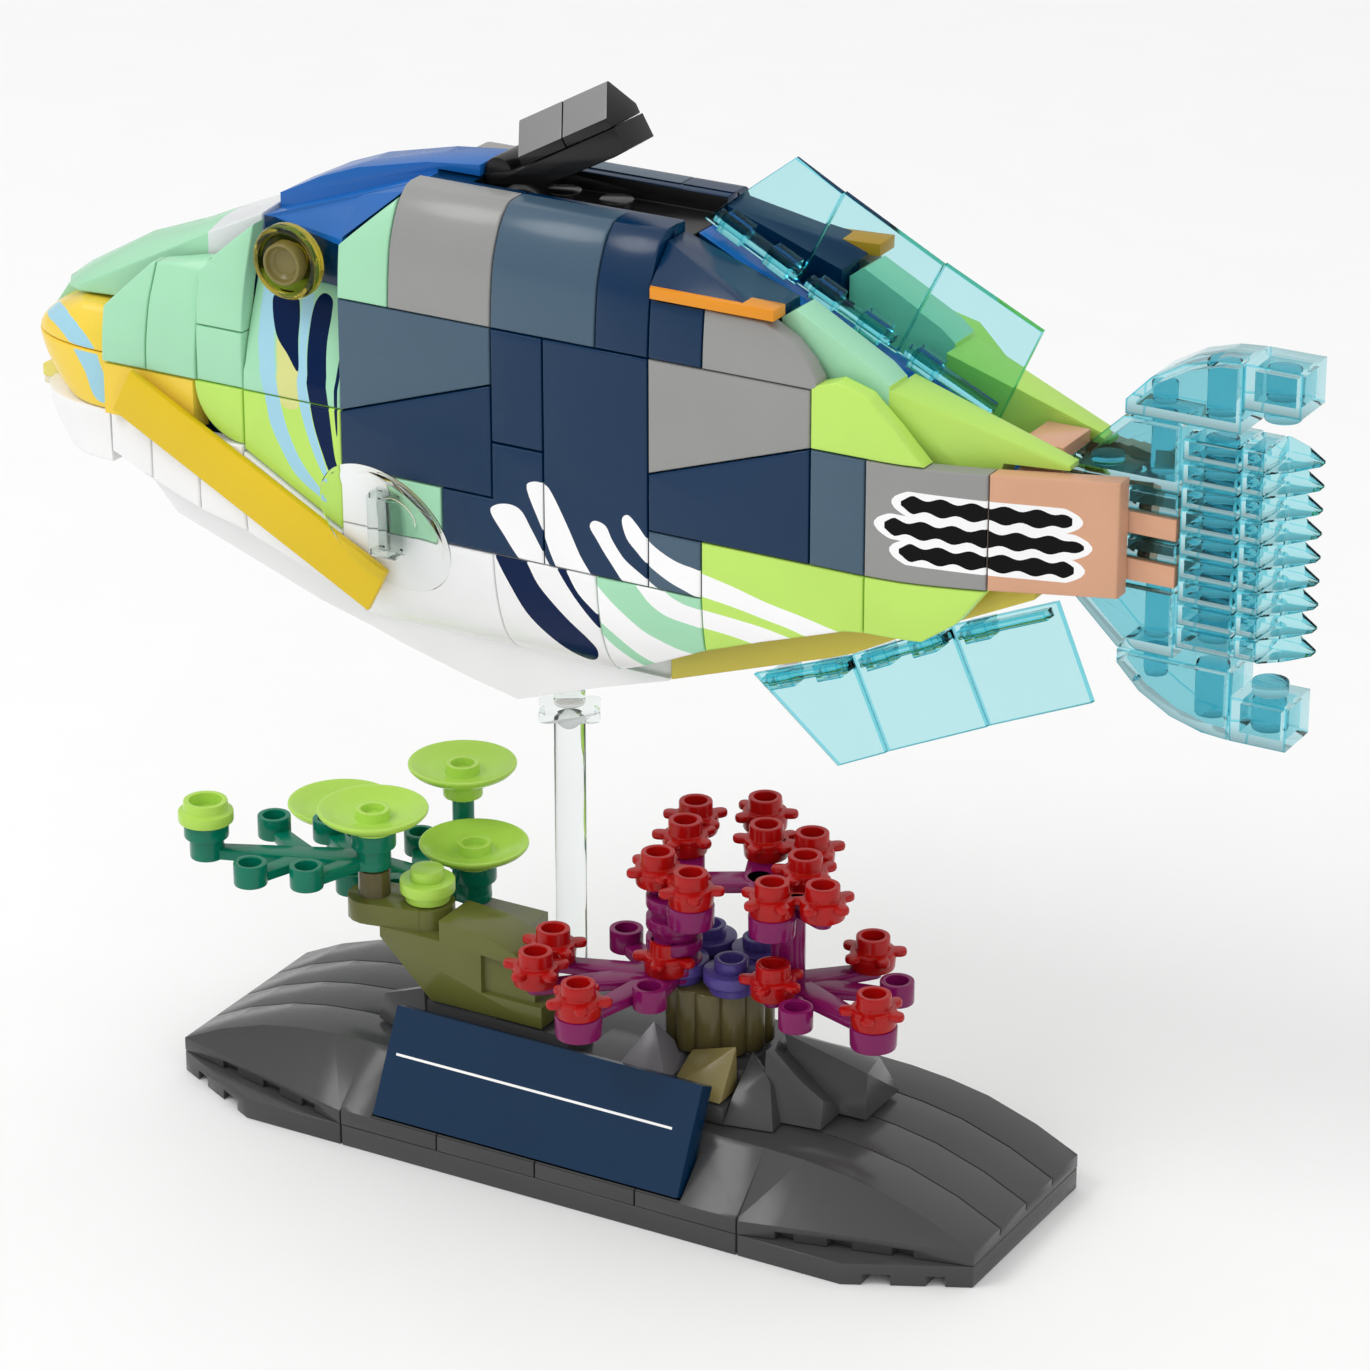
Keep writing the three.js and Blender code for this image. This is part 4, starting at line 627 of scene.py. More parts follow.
def rounded(profile, r=0.22, steps=2):
    """Rounds the corners of a turned profile by r."""
    made = [profile[0]]
    for a, b, c in zip(profile, profile[1:], profile[2:]):
        a, b, c = map(np.array, (a, b, c))
        la, lc = np.hypot(*(a - b)), np.hypot(*(c - b))
        k = min(r, la * 0.45, lc * 0.45)
        p, q = b + (a - b) / la * k, b + (c - b) / lc * k
        made += [tuple((1 - t) ** 2 * p + 2 * t * (1 - t) * b + t * t * q)
                 for t in np.linspace(0, 1, steps + 1)]
    return made + [profile[-1]]


def pin(shape, r, high, at, colour, steps, edge=0.22, axis=(0, 0, 1)):
    return turned(shape, rounded([(0, 0), (r, 0), (r, high), (0, high)], edge), at, colour, steps,
                  axis)


# %% Extruded and hulled helpers
def slab(shape, outline, low, high, colour, plane="xy", edge=0.18, side=None, rim=None,
         inside=False):
    """A flat outline with a thickness and rounded rims, across the axis that is not in plane.
    side and rim may give its side faces and its rounded edges another paint; inside turns it
    into the wall of a hollow."""
    loop = counter_clockwise([tuple(p) for p in outline])
    inner, soft, n = shrink(loop, edge), shrink(loop, edge * 0.3), len(loop)
    rings = [(inner, low), (soft, low + edge * 0.3), (loop, low + edge), (loop, high - edge),
             (soft, high - edge * 0.3), (inner, high)]
    points = [(a, b, h) for ring, h in rings for a, b in ring]
    faces = [[j * n + k, j * n + (k + 1) % n, (j + 1) * n + (k + 1) % n, (j + 1) * n + k]
             for j in range(5) for k in range(n)]
    paints = [(side if j == 2 else rim) or side or colour for j in range(5) for k in range(n)]
    faces += [list(range(n))[::-1], [5 * n + k for k in range(n)]]
    if plane == "xz":
        points = [(a, h, b) for a, b, h in points]
    if plane == "yz":
        points = [(h, a, b) for a, b, h in points]
    if (plane == "xz") != inside:
        faces = [f[::-1] for f in faces]
    return shape.add(points, faces, paints + [colour, colour])


def hulled(shape, points, colour, width=0.15, pick=None):
    """The hull of some corners, its edges rounded by width; pick(normal) may choose a paint."""
    form = bmesh.new()
    for p in points:
        form.verts.new(p)
    bmesh.ops.convex_hull(form, input=form.verts)
    flatten(form)
    bmesh.ops.bevel(form, geom=form.edges[:], offset=width, segments=2, profile=0.5,
                    affect="EDGES", clamp_overlap=True)
    bmesh.ops.recalc_face_normals(form, faces=form.faces)
    form.verts.index_update()
    shape.add([tuple(v.co) for v in form.verts], [[v.index for v in f.verts] for f in form.faces],
              [(pick and pick(f.normal)) or colour for f in form.faces])
    form.free()


def mirrored(corners):
    """Each corner (x, y, z) on both sides of the middle."""
    return [(x, k * y, z) for x, y, z in corners for k in (-1, 1)]


def pair(side, a, b):
    return sorted((side * a, side * b))


# %% [markdown]
# ## The same part in many places
# The corals end in seventeen equal flowers, and the plant and the corals in rows of equal cups.
# They could be copied in a loop, but one Geometry Nodes tree shows the rule better: a part is put
# on every point, turned about its upright axis by a seeded amount, and made real with its plastic.

# %% Tree that puts a part on every point
places_tree, ends_in, ends_out, SOCKETS = new_group("GeometryNodeTree", "Part on every place", (
    ("Places", "INPUT", "Geometry"), ("Part", "INPUT", "Object"),
    ("Largest turn", "INPUT", "Float"), ("Seed", "INPUT", "Int"),
    ("Plastic", "INPUT", "Material"), ("Made", "OUTPUT", "Geometry")))
part_info, turn_by, upright, put_on, make_real, coat = (node(places_tree, kind) for kind in (
    "GeometryNodeObjectInfo", "FunctionNodeRandomValue", "ShaderNodeCombineXYZ",
    "GeometryNodeInstanceOnPoints", "GeometryNodeRealizeInstances", "GeometryNodeSetMaterial"))
wire(places_tree, (ends_in, "Places", put_on, "Points"), (ends_in, "Part", part_info, "Object"),
     (part_info, "Geometry", put_on, "Instance"), (ends_in, "Largest turn", turn_by, 3),
     (ends_in, "Seed", turn_by, "Seed"), (turn_by, 1, upright, "Z"),
     (upright, "Vector", put_on, "Rotation"), (put_on, "Instances", make_real, "Geometry"),
     (make_real, "Geometry", coat, "Geometry"), (ends_in, "Plastic", coat, "Material"),
     (coat, "Geometry", ends_out, "Made"))
print("nodes in the tree:", len(places_tree.nodes))


def repeat(name, part, places, colour, node_name, turn=0.0, seed=1):
    """Puts the part, a Shape drawn round the origin, on every place in millimetres."""
    part_object = bpy.data.objects.new(f"{name}_part", mesh_of(f"{name}_part", part.points,
                                                               part.faces))
    carrier = bpy.data.objects.new(f"{name}_places", mesh_of(f"{name}_places", places))
    bpy.context.collection.objects.link(carrier)
    rule = carrier.modifiers.new("Places", "NODES")
    rule.node_group = places_tree
    for label, value in (("Part", part_object), ("Largest turn", turn), ("Seed", seed),
                         ("Plastic", paint[colour])):
        rule[SOCKETS[label]] = value
    ready = carrier.evaluated_get(bpy.context.evaluated_depsgraph_get())
    mesh = bpy.data.meshes.new_from_object(ready)
    mesh.name = name
    for used in (carrier, part_object):
        data = used.data
        bpy.data.objects.remove(used)
        bpy.data.meshes.remove(data)
    finish_piece(name, mesh, node_name)


# %% [markdown]
# ## Yellow stripe
# The stripe is one long tile laid over the side at a slant. Its printed likeness would do from
# afar, but it stands proud of the tiles and throws a shadow, so it is a slab with rounded edges.

# %% Stripe
STRIPE_AT, STRIPE_LONG, STRIPE_WIDE, STRIPE_TURN = (-48.6, 93.8), 46.6, 7, math.radians(-27.6)
STRIPE_Y = (16.25, 17.4)


def turned_spot(at, turn, a, b):
    """The place a along and b across from at, in directions turned by turn."""
    return (at[0] + a * math.cos(turn) - b * math.sin(turn),
            at[1] + a * math.sin(turn) + b * math.cos(turn))


stripe_outline = [turned_spot(STRIPE_AT, STRIPE_TURN, a, b) for a, b in box_outline(
    -STRIPE_LONG / 2, STRIPE_LONG / 2, -STRIPE_WIDE / 2, STRIPE_WIDE / 2)]
for word, side in SIDES:
    slab(Shape(), stripe_outline, *pair(side, *STRIPE_Y), "gold", "xz", 0.2).build(
        f"stripe_tile_{word}", f"stripe_{word}")

# %% [markdown]
# ## Pectoral fins
# Each is a clear shallow dish on a clip. Flat glass would show nothing but its rim, so the dish
# keeps its real curve, its thin wall and its bead, and leans out the way the photograph shows it.

# %% Pectoral dishes
DISC = {"x": -22.1, "y": 24, "z": 95.7, "r": 10.7, "deep": 3, "wall": 0.7}
bowl = [(a, -DISC["deep"] * (1 - (a / DISC["r"]) ** 2)) for a in np.linspace(3.4, 10, 9)]
bowl_profile = ([(0, -3), (3, -3)] + [(a, h) for a, h in bowl]
                + [(10.6, -0.3), (10.7, -0.08), (10.5, 0.05), (10.2, 0.05)]
                + [(a - 0.2, h + DISC["wall"]) for a, h in bowl[:-1]][::-1]
                + [(2.9, -2.1), (0, -2.1)])
CLIP = [(-27.5, -23.4, 89.2, 98.7, 16.3, 17.3), (-27.5, -26.4, 89.6, 98.3, 17.2, 20),
        (-24.4, -23.4, 89.6, 98.3, 17.2, 20), (-27.4, -23.5, 89.2, 90.2, 17.2, 19.6),
        (-27.4, -23.5, 97.7, 98.7, 17.2, 19.6)]  # length, height and reach of its five plates
for word, side in SIDES:
    shape = turned(Shape(), bowl_profile, (DISC["x"], side * DISC["y"], DISC["z"]), "clear", 72,
                   (-0.098, side * 0.935, -0.342))
    for *edges, near, far in CLIP:
        slab(shape, box_outline(*edges), *pair(side, near, far), "clear_clip", "xz")
    pin(shape, 0.9, 7.3, (-25.4, side * 18.8, 90.3), "clear_clip", 24)
    shape.build(f"pectoral_dish_{word}", f"pectoral_fin_{word}", outward=False)

# %% [markdown]
# ## Eyes
# The eye is a see-through gold round with a stepped front, over a taupe cup. Rings inside rings
# give it its depth, so both parts are turned and the inner one shows through the outer one.

# %% Eyes
for word, side in SIDES:
    shape, out, at = Shape(), (0, side, 0), (-42, side * 12.4, 127.4)
    turned(shape, rounded([(0, 0), (2.3, 0), (2.3, 1), (4.2, 1.2), (5.3, 2.4), (5.3, 3.6),
                           (4.9, 4.3), (4.2, 4.3), (4.0, 3.5), (2.9, 3.1), (0, 3.1)], 0.25, 3),
           at, "amber", 56, out)
    turned(shape, rounded([(0, 3.15), (3.1, 3.15), (2.9, 4.95), (2.5, 5), (2.3, 4.2), (1.8, 3.9),
                           (1.7, 3.7), (0, 3.7)], 0.2, 3), at, "amber_core", 48, out)
    shape.build(f"eye_round_{word}", f"eye_{word}", outward=False)

# %% [markdown]
# ## Snout and jaw
# The snout is two rounded yellow bricks with a seam between them, and the light stripe of the
# face is printed across both. A stripe painted by a mask would blur, so the skin is drawn flat,
# as turn round the nose and height, cut along the stripe, and then wrapped round the nose.

# %% Wrapped skins
NOSE_X, NOSE_HALF, SQUARE, NOSE_TURN = -74.0, 12.8, 0.8, 1.552


def wrapped(shape, low, high, reach, colour, prints=(), edge=0.3):
    """A nose slice from low to high; reach is how far it stands forward at each height."""
    w = NOSE_TURN
    heights = [low + edge * k for k in (0.12, 0.4, 1)] + [high - edge * k for k in (0.12, 0.4, 1)]
    lines = [((a, low), (a, high)) for a in np.linspace(-w, w, 57)[1:-1]]
    lines += [((-w, z), (w, z)) for z in [*heights, *np.arange(low + 0.8, high - 0.6, 0.7)]]
    flat, tris = cut_up(box_outline(-w, w, low, high), prints, [], lines)
    a, z = flat.T
    near = np.minimum(np.minimum(z - low, high - z), edge)
    drop = edge - np.sqrt(np.maximum(edge ** 2 - (edge - near) ** 2, 0))
    far = np.interp(z, *zip(*reach)) - drop
    wide = np.interp(z, *zip(*SNOUT_SIDE))
    x = NOSE_X - far * np.abs(np.cos(a)) ** SQUARE
    y = np.sign(a) * (NOSE_HALF - drop) * np.abs(np.sin(a)) ** SQUARE
    y = np.clip(y, -wide + drop, wide - drop)
    faces = [t for t, _ in tris]
    colours = [prints[top - 1][0] if top else colour for _, top in tris]
    _, loop = border(tris)
    for level in (low, high):
        faces.append([i for i in loop if abs(z[i] - level) < 1e-4])
    faces.append([i for i in loop if abs(abs(a[i]) - w) < 1e-4])
    shape.add(zip(x, y, z), faces, colours + [colour] * 3)


def both_sides(outline):
    return [("print_sky", [(s * a, z) for a, z in outline]) for s in (-1, 1)]


# %% Snout and jaw
# Heights with how far the noses reach forward and to the side, then the two parts of the stripe
SNOUT_REACH = [
    (99.4, 12.2), (100.8, 14), (102.4, 15.5), (104.2, 16.8), (106, 17.6), (107.6, 18), (109, 17.1),
    (110.4, 15.3), (111.6, 13.4), (112.8, 10.9), (113.6, 8.8)]
SNOUT_SIDE = [(99, 12.8), (107.6, 12.8), (110.5, 12.2), (113, 10.8), (114.6, 9.4)]
JAW_REACH = [(91.6, 12.2), (92.8, 13.4), (94.5, 14.8), (97, 16.2), (99.2, 16.8)]
FACE_UPPER = [
    (0.4, 109.4), (0.62, 109.6), (0.89, 109.65), (1.03, 109.35), (1.14, 108.8), (1.19, 108.3),
    (1.23, 107.98), (1.29, 107.85), (1.35, 107.82), (1.41, 107.8), (1.46, 107.84), (1.47, 108),
    (1.44, 108.6), (1.39, 109.35), (1.32, 110.15), (1.22, 110.9), (1.1, 111.5), (0.89, 111.9),
    (0.7, 111.8), (0.5, 111.4), (0.35, 110.8)]
FACE_LOWER = [
    (1.27, 107.2), (1.3, 106.3), (1.335, 105.2), (1.366, 104.2), (1.378, 103), (1.388, 101.7),
    (1.404, 100.9), (1.43, 100.4), (1.468, 100.15), (1.5, 100.15), (1.528, 100.4), (1.545, 100.95),
    (1.549, 101.9), (1.543, 103), (1.533, 104.15), (1.516, 105.25), (1.502, 106.15), (1.49, 107.2)]
shape = Shape()
wrapped(shape, MID_Z + 0.09, 113.6, SNOUT_REACH, "yellow", both_sides(FACE_UPPER))
wrapped(shape, 99.4, MID_Z - 0.09, SNOUT_REACH, "yellow", both_sides(FACE_LOWER))
hulled(shape, mirrored([(-85.5, 3, 114.2), (-88.2, 2.6, 112.7), (-91.8, 1.1, 108.6),
                        (-84, 3, 112.5), (-90, 1.1, 108)]), "mint", 0.2)
shape.build("snout_slopes", "snout", smooth=40)
shape = Shape()
wrapped(shape, 91.6, 99.2, JAW_REACH, "white")
slab(shape, box_outline(-92.4, -88.2, -4, 4), 98.4, 100.4, "tooth", "xy", 0.25)
slab(shape, box_outline(-92.2, -84, -4, 4), 97.3, 98.5, "cream", "xy", 0.25)
shape.build("jaw_slope", "jaw", smooth=40)

# %% [markdown]
# ## Body core, back and belly
# These bricks are plain solids whose shapes the CAD already has. The nodes' meshes are copied,
# their coplanar faces joined, their edges rounded, and cut where one colour ends, because several
# bricks of different colours share one node.

# %% Core, crest, keel and belly
rounded_copy("core", "navy", "core_bricks", 0.2, 1, pick=lambda c, n: (
    "yellow" if c[0] < -57.7 and abs(c[1]) > 10.9 and 99.4 < c[2] < 107.7 else None))
rounded_copy("keel", "white", "keel_slopes")
rounded_copy("belly_mustard", "mustard", "belly_strip")
rounded_copy("crest", "mint", "crest_slopes", sharp=18, smooth=20,
             pick=lambda c, n: "pale" if c[0] > -60.3 and abs(c[1]) < 8.2 else None,
             cuts=[((-60.3, 0, 0), (1, 0, 0))])
rounded_copy("brow", "blue", "brow_slopes", 0.3, cuts=[((0, 0, 130.3), (0, 0, 1))],
             pick=lambda c, n: "navy" if abs(c[1]) > 7.3 and c[2] < 130.3 else None)

# %% Back and tail root
rounded_copy("back_deck", "navy", "back_deck_plates", 0.15,
             cuts=[((0, 5.5, 0), (0, 1, 0)), ((0, -5.5, 0), (0, 1, 0))],
             pick=lambda c, n: "black" if abs(c[1]) < 5.7 and c[2] < 139.2 else None)
rounded_copy("back_ridge", "navy", "back_ridge_slopes", 0.2, pick=lambda c, n: (
    "orange" if abs(c[1]) > 12.75 and 131.75 < c[2] < 133.5 else
    "blue" if abs(c[1]) < 2.7 and n[2] > 0.2 else None))
rounded_copy("tail_root", "tan", "tail_root_bricks")

# %% Spine
SPINE_FOOT, (AHEAD_X, AHEAD_Z) = (-12.9, 143.3), (0.877, 0.48)


def on_spine(along, up):
    """A point of the tilted spine in length and height, from its place along and above it."""
    return (SPINE_FOOT[0] + along * AHEAD_X - up * AHEAD_Z,
            SPINE_FOOT[1] + along * AHEAD_Z + up * AHEAD_X)


shape = Shape()
slab(shape, [on_spine(*p) for p in ((-5.5, -0.4), (-5.8, -1.9), (2.4, -4.9), (14, -5.1),
                                    (16.1, -4.9), (16, -1.5), (-0.8, -1.5))],
     -3.8, 3.8, "black", "xz", 0.2)
# The two wedges are grey tiles. Only their sloping sides keep the grey; their ends and undersides
# are painted black as shade.
for ends in ((0.05, 7.72), (7.88, 15.6)):
    corners = [(on_spine(a, up), half) for a in ends
               for up, half in ((-1.4, 3.9), (0, 3.9), (4.25, 0.2))]
    hulled(shape, mirrored([(x, half, z) for (x, z), half in corners]), "black", 0.15,
           lambda n: "spine_grey" if abs(n.y) > 0.5 and n.z > 0.3 else None)
pin(shape, 2.2, 6.6, (-16.3, -3.3, 140.4), "black", 28, 0.25, (0, 1, 0))
shape.build("dorsal_spine_bricks", "dorsal_spine")


# %% Fin bed
def fin_bed_paint(c, n):
    if abs(c[1]) < 4.3:
        return "blue" if abs(c[1]) < 2.8 else "navy"
    return "mint" if c[0] < 47.05 else "lime"


rounded_copy("fin_bed", "lime", "fin_bed_slopes", 0.2, pick=fin_bed_paint,
             cuts=[((47.05, 0, 0), (1, 0, 0))])

# %% [markdown]
# ## See-through fins
# Each long fin is three flat panes, clipped to a bar. The panes are nearly colourless face on; the
# deep aqua glow of their cut edges, light piped through the plastic, is painted on the rim's
# faces.

# %% Dorsal and anal fins
DORSAL = {"base": [(13.8, 138.4), (27.3, 131.5), (41.9, 124.5), (56.6, 117.6)],
          "edge": [(27.2, 148.7), (34.1, 145), (48.5, 137.6), (62.6, 130.9)]}
ANAL = {"base": [(21.5, 75.2), (36, 80.8), (50.5, 87.9), (65.8, 94.4)],
        "edge": [(34.5, 64.5), (41.7, 68), (56.4, 74.8), (71.3, 81.3)]}
CLIPS = [(1.2, 15, 0.7, 1.9, 1.3), (2.4, 6.2, 0.1, 2.5, 1.9), (10, 13.8, 0.1, 2.5, 1.9)]
for name, fin, lift in (("dorsal_fin", DORSAL, 1), ("anal_fin", ANAL, -1)):
    shape = Shape()
    for i in range(3):
        y = (i - 1) * 0.45
        (start, end), edge = fin["base"][i:i + 2], fin["edge"][i:i + 2]
        slab(shape, [start, end, *edge[::-1]], y - 0.5, y + 0.5, "aqua", "xz", 0.1, "aqua_edge",
             "aqua_edge")
        ahead = np.subtract(end, start)
        ahead = ahead / np.hypot(*ahead)
        up = np.array((-ahead[1], ahead[0])) * lift
        for t0, t1, foot, head, half in CLIPS[:2 if i == 2 else 3]:
            slab(shape, [start + ahead * t + up * h for t, h in box_outline(t0, t1, foot, head)],
                 -half, half, "aqua", "xz", 0.2, None, "aqua_edge")
    shape.build(f"{name}_panes", name, outward=False)

# %% [markdown]
# ## Tail fin
# The tail is a stack of see-through bricks, and what makes it look so are their hollows: the
# walls, the tubes and the studs inside. A solid block of tinted glass would be flat and pale, so
# each brick is a shell round a hollow, with a stud or tube in it, and its rims are painted a
# deeper tint as the glow of light piped through the plastic.

# %% Clear bricks
TAIL_X, TAIL_HALF = 68.2, 3.9


def clear_brick(shape, outline, wall=1.1, half=TAIL_HALF):
    """A hollow clear brick; its outline is measured from the tail's root and from mid height."""
    loop = shrink(counter_clockwise([(TAIL_X + u, MID_Z + h) for u, h in outline]), 0.06)
    slab(shape, loop, -half, half, "aqua_brick", "xz", 0.22, None, "aqua_edge")
    slab(shape, shrink(loop, wall), -half + wall, half - wall, "aqua_brick", "xz", 0.12,
         inside=True)


def clear_post(shape, u, h0, h1, r, steps=24):
    low, high = sorted((h0, h1))
    pin(shape, r, high - low, (TAIL_X + u, 0, MID_Z + low), "aqua_post", steps)


# %% Tail fin
CURVE = [(8, 16), (24, 16), (24, 25.6), (20.3, 25.3), (15.8, 24), (11.3, 21.4), (8, 18)]
HEEL = [(24.05, 19.4), (32, 19.4), (32, 25.6), (24.05, 25.6)]
WEDGE = [(0.1, 6.6), (16, 6.6), (16, 15.9), (8, 15.9), (0.1, 8.4)]
POSTS = [(4.4, 7.8, 8.9, 2.2), (12, 7.8, 14.6, 1.6), (12, 17.2, 20, 1.6), (20, 17.2, 23.8, 2.2),
         (28, 20.6, 24.2, 2.2), (28, 17.7, 19.35, 2.4, 32)]
TOOTH = [(27.15, 3.7, 1.4), (27.6, 3.8, 1.4), (30.6, 2.9, 0.85), (33.7, 0.8, 0.2)]
shape = Shape()
for flip in (1, -1):
    for outline in (CURVE, HEEL, WEDGE):
        clear_brick(shape, [(u, flip * h) for u, h in outline])
    for u, h0, h1, *rest in POSTS:
        clear_post(shape, u, flip * h0, flip * h1, *rest)
for h0, h1 in ((3.45, 6.4), (-3.0, -0.2)):
    clear_brick(shape, box_outline(8.1, 16.0, h0, h1), 0.7)
for h in np.arange(-4, 5) * 3.2:
    clear_brick(shape, box_outline(16.15, 23.9, h - 1.55, h + 1.55), 0.6)
    clear_brick(shape, box_outline(24, 27.2, h - 1.55, h + 1.55), 0.6, 3.4)
    clear_post(shape, 20, h - 0.8, h + 0.8, 2.2, 20)
    # All but the teeth's flat faces get the deeper edge tint, painted as the glow of light piped
    # through them.
    hulled(shape, [(TAIL_X + u, s * y, MID_Z + h + k * z) for u, y, z in TOOTH
                   for s in (-1, 1) for k in (-1, 1)], "aqua_edge", 0.16,
           lambda n: "aqua_tooth" if abs(n.z) > 0.9 or abs(n.y) > 0.9 else None)
shape.build("tail_fin_bricks", "tail_fin", outward=False)

# %% [markdown]
# ## Stand
# The base is a plate under curved slopes in dark grey, with cut rock faces, a plaque and a clear
# rod. The rod could be one bar, but its lobed collar catches the light just under the belly, so
# the bar ends there and starts again. The plaque stays bare: it keeps only its plain white rule.

# %% Base and rocks
for node_name, colour, name, width in (
        ("stand_plate", "dark", "base_plate", 0.15),
        ("stand_rock_base", "dark", "base_slopes", 0.15),
        ("stand_rocks", "dark", "rock_faces", 0.15),
        ("stand_pyramid_rock", "stone", "pyramid_rock", 0.2)):
    rounded_copy(node_name, colour, name, width)

# %% Rod and collar
ROD_X, ROD_R, ROD_PARTS, COLLAR = -8, 2.2, ((11.95, 62.25), (64.25, 66.3)), (62.3, 64.2)
shape = Shape()
for low, high in ROD_PARTS:
    pin(shape, ROD_R, high - low, (ROD_X, 0, low), "clear_rod", 40, 0.3)
lobes = [(ROD_X + r * math.cos(t), r * math.sin(t)) for t in np.arange(72) * math.pi / 36
         for r in [4.1 + 0.7 * math.cos(6 * t)]]
slab(shape, lobes, *COLLAR, "clear_clip", "xy", 0.2)
shape.build("support_rod", "stand_rod", outward=False)

# %% Plaque
PLAQUE = [(-24, 6.3), (-17, 20.4), (-14.1, 19), (-21.1, 4.9)]
along = Vector((7, 14.1)).normalized()
outward = Vector((-along.y, along.x))
rule_section = [tuple(Vector(PLAQUE[0]) + along * t + outward * d) for t, d in (
    (8.85, -0.1), (8.85, 0.03), (9.2, 0.03), (9.2, -0.1))]
shape = slab(Shape(), PLAQUE, -26.6, 22.8, "plaque", "yz", 0.25)
slab(shape, rule_section, -24.9, 19.7, "print_white", "yz", 0.01)
shape.build("plaque_tile", "stand_plaque")

# %% [markdown]
# ## Plant
# An olive trunk carries two flat leaf plates in teal, whose arms end in cups. Round plates and
# dishes in lime sit on some of them. A leaf could be one outline, but each arm is pressed with its
# own round end, so the arms are tapered slabs; the cups are one part in many places.

# %% Leaf helpers
CUP = rounded([(0, 0), (2.4, 0), (2.4, 3.3), (1.6, 3.3), (1.6, 1.6), (0, 1.6)], 0.2)
cup_shape = turned(Shape(), CUP, (0, 0, 0), "teal", 28)
BARREL = [(0, 0), (3.2, 0), (3.2, 1.3), (3.95, 1.4), (3.95, 3.2), (0, 3.2)]
DISH = rounded([
    (0, 0), (3.2, 0), (3.25, 0.6), (5.4, 1.35), (7.3, 2.4), (7.9, 3.1), (7.85, 3.5), (7.4, 3.5),
    (5.3, 2.45), (3.5, 1.95), (2.5, 1.9), (2.45, 3.4), (1.65, 3.4), (1.6, 2.2), (0, 2.2)], 0.25)


def arm(shape, a, b, z, wide, narrow, colour, thick=1.6):
    """A tapered arm with a round end; each is a little thinner than the one before it, so that
    no two share a face."""
    thick -= 0.03 * (len(shape.faces) % 7)
    a, b = Vector(a), Vector(b)
    ahead = (b - a).normalized()
    across = Vector((-ahead.y, ahead.x))
    half_turn = np.linspace(-math.pi / 2, math.pi / 2, 9)
    end = [b + narrow * (ahead * math.cos(t) + across * math.sin(t)) for t in half_turn]
    start = [a + wide * (-ahead * math.cos(t) + across * math.sin(t)) for t in half_turn[::-1]]
    slab(shape, end + start, z, z + thick, colour, "xy", 0.3)


# %% Leaf plates
# The boss of each plate, its turn in degrees and its height
LEAVES = {"upper": ((-34.4, -10), 201.7, 37.3), "lower": ((-26.5, 4), 174.6, 28.2)}
for word, (boss, turn, z) in LEAVES.items():
    at = lambda ahead, across: turned_spot(boss, math.radians(turn), ahead, across)
    node_name = f"stand_plant_{word}"
    seat, tip, side_cup = z + 5.6, at(24, 0), at(8, -8)  # a dish sits at the height seat
    shape = Shape()
    arm(shape, boss, tip, z, 2.5, 1.2, "teal")
    ends = [(ahead, across) for ahead in (8, 16) for across in (-8, 8)]
    for ahead, across in ends:
        arm(shape, at(ahead - 6.5, 0), at(ahead, across), z, 1.6, 1.2, "teal")
    for spot in (boss, tip):
        turned(shape, rounded([(0, 0), (2.45, 0), (2.45, 3), (3.2, 3.2), (3.2, 5.7), (0, 5.7)]),
               (*spot, z), "teal", 32)
    turned(shape, DISH, (*boss, seat), "leaf", 56)
    if word == "upper":
        turned(shape, rounded([(0, 0), (3.95, 0), (3.95, 1.6), (3.2, 1.8), (3.15, 3.2),
                               (2.3, 3.2), (2.3, 1.3), (0, 1.3)], 0.25), (*tip, seat), "leaf",
               36)
    else:
        turned(shape, DISH, (*tip, seat), "leaf", 56)
        pin(shape, 1.6, 11, (*side_cup, z + 0.5), "teal", 20)
        pin(shape, 2.9, 1.8, (*side_cup, z + 11.3), "leaf", 28)
        turned(shape, DISH, (*side_cup, z + 13), "leaf", 56)
    shape.build(f"plant_{word}_leaf", node_name)
    repeat(f"plant_{word}_cups", cup_shape, [(*at(*e), z) for e in ends], "teal", node_name)

# %% Trunk
rounded_copy("stand_plant_trunk", "olive", "plant_trunk", 0.2, pick=lambda c, n: (
    "sand" if c[2] > 33.15 and math.hypot(c[0] + 34.4, c[1] + 10) < 3 else None))
shape = turned(Shape(), rounded(BARREL, 0.2), (-26.6, -8.3, 33.3), "leaf", 36)
pin(shape, 2.4, 1.7, (-26.6, -8.3, 36.45), "leaf", 28)
shape.build("trunk_round_plate", "stand_plant_trunk")

# %% [markdown]
# ## Corals
# A fluted column in dark tan carries round plates in violet. Two levels of magenta branches stand
# on it, and each branch ends in a red flower: a barrel, five petals and a hollow stud. The flutes
# and the petals could be many small parts, but as one outline each they are a single slab.

# %% Column
COLUMN, COLUMN_Z = (16, 0), 19.2
LOWER_Z, UPPER_Z = 29.1, 41.6
flutes = [(COLUMN[0] + r * math.cos(t), COLUMN[1] + r * math.sin(t))
          for t in np.arange(120) * math.pi / 60
          for r in [6.95 + 0.85 * abs(math.sin(6 * t)) ** 0.55]]
shape = slab(Shape(), flutes, COLUMN_Z, COLUMN_Z + 9.5, "sand", "xy", 0.3)
for dx, dy in ((4, -4), (-4, 4), (4, 4), (-4, -4)):
    spot = (COLUMN[0] + dx, COLUMN[1] + dy)
    turned(shape, rounded(BARREL, 0.25), (*spot, COLUMN_Z + 9.5), "violet", 36)
    turned(shape, rounded([(0, 0), (2.4, 0), (2.4, 1.7), (1.6, 1.7), (1.6, 0.4), (0, 0.4)], 0.2),
           (*spot, COLUMN_Z + 12.65), "violet", 32)
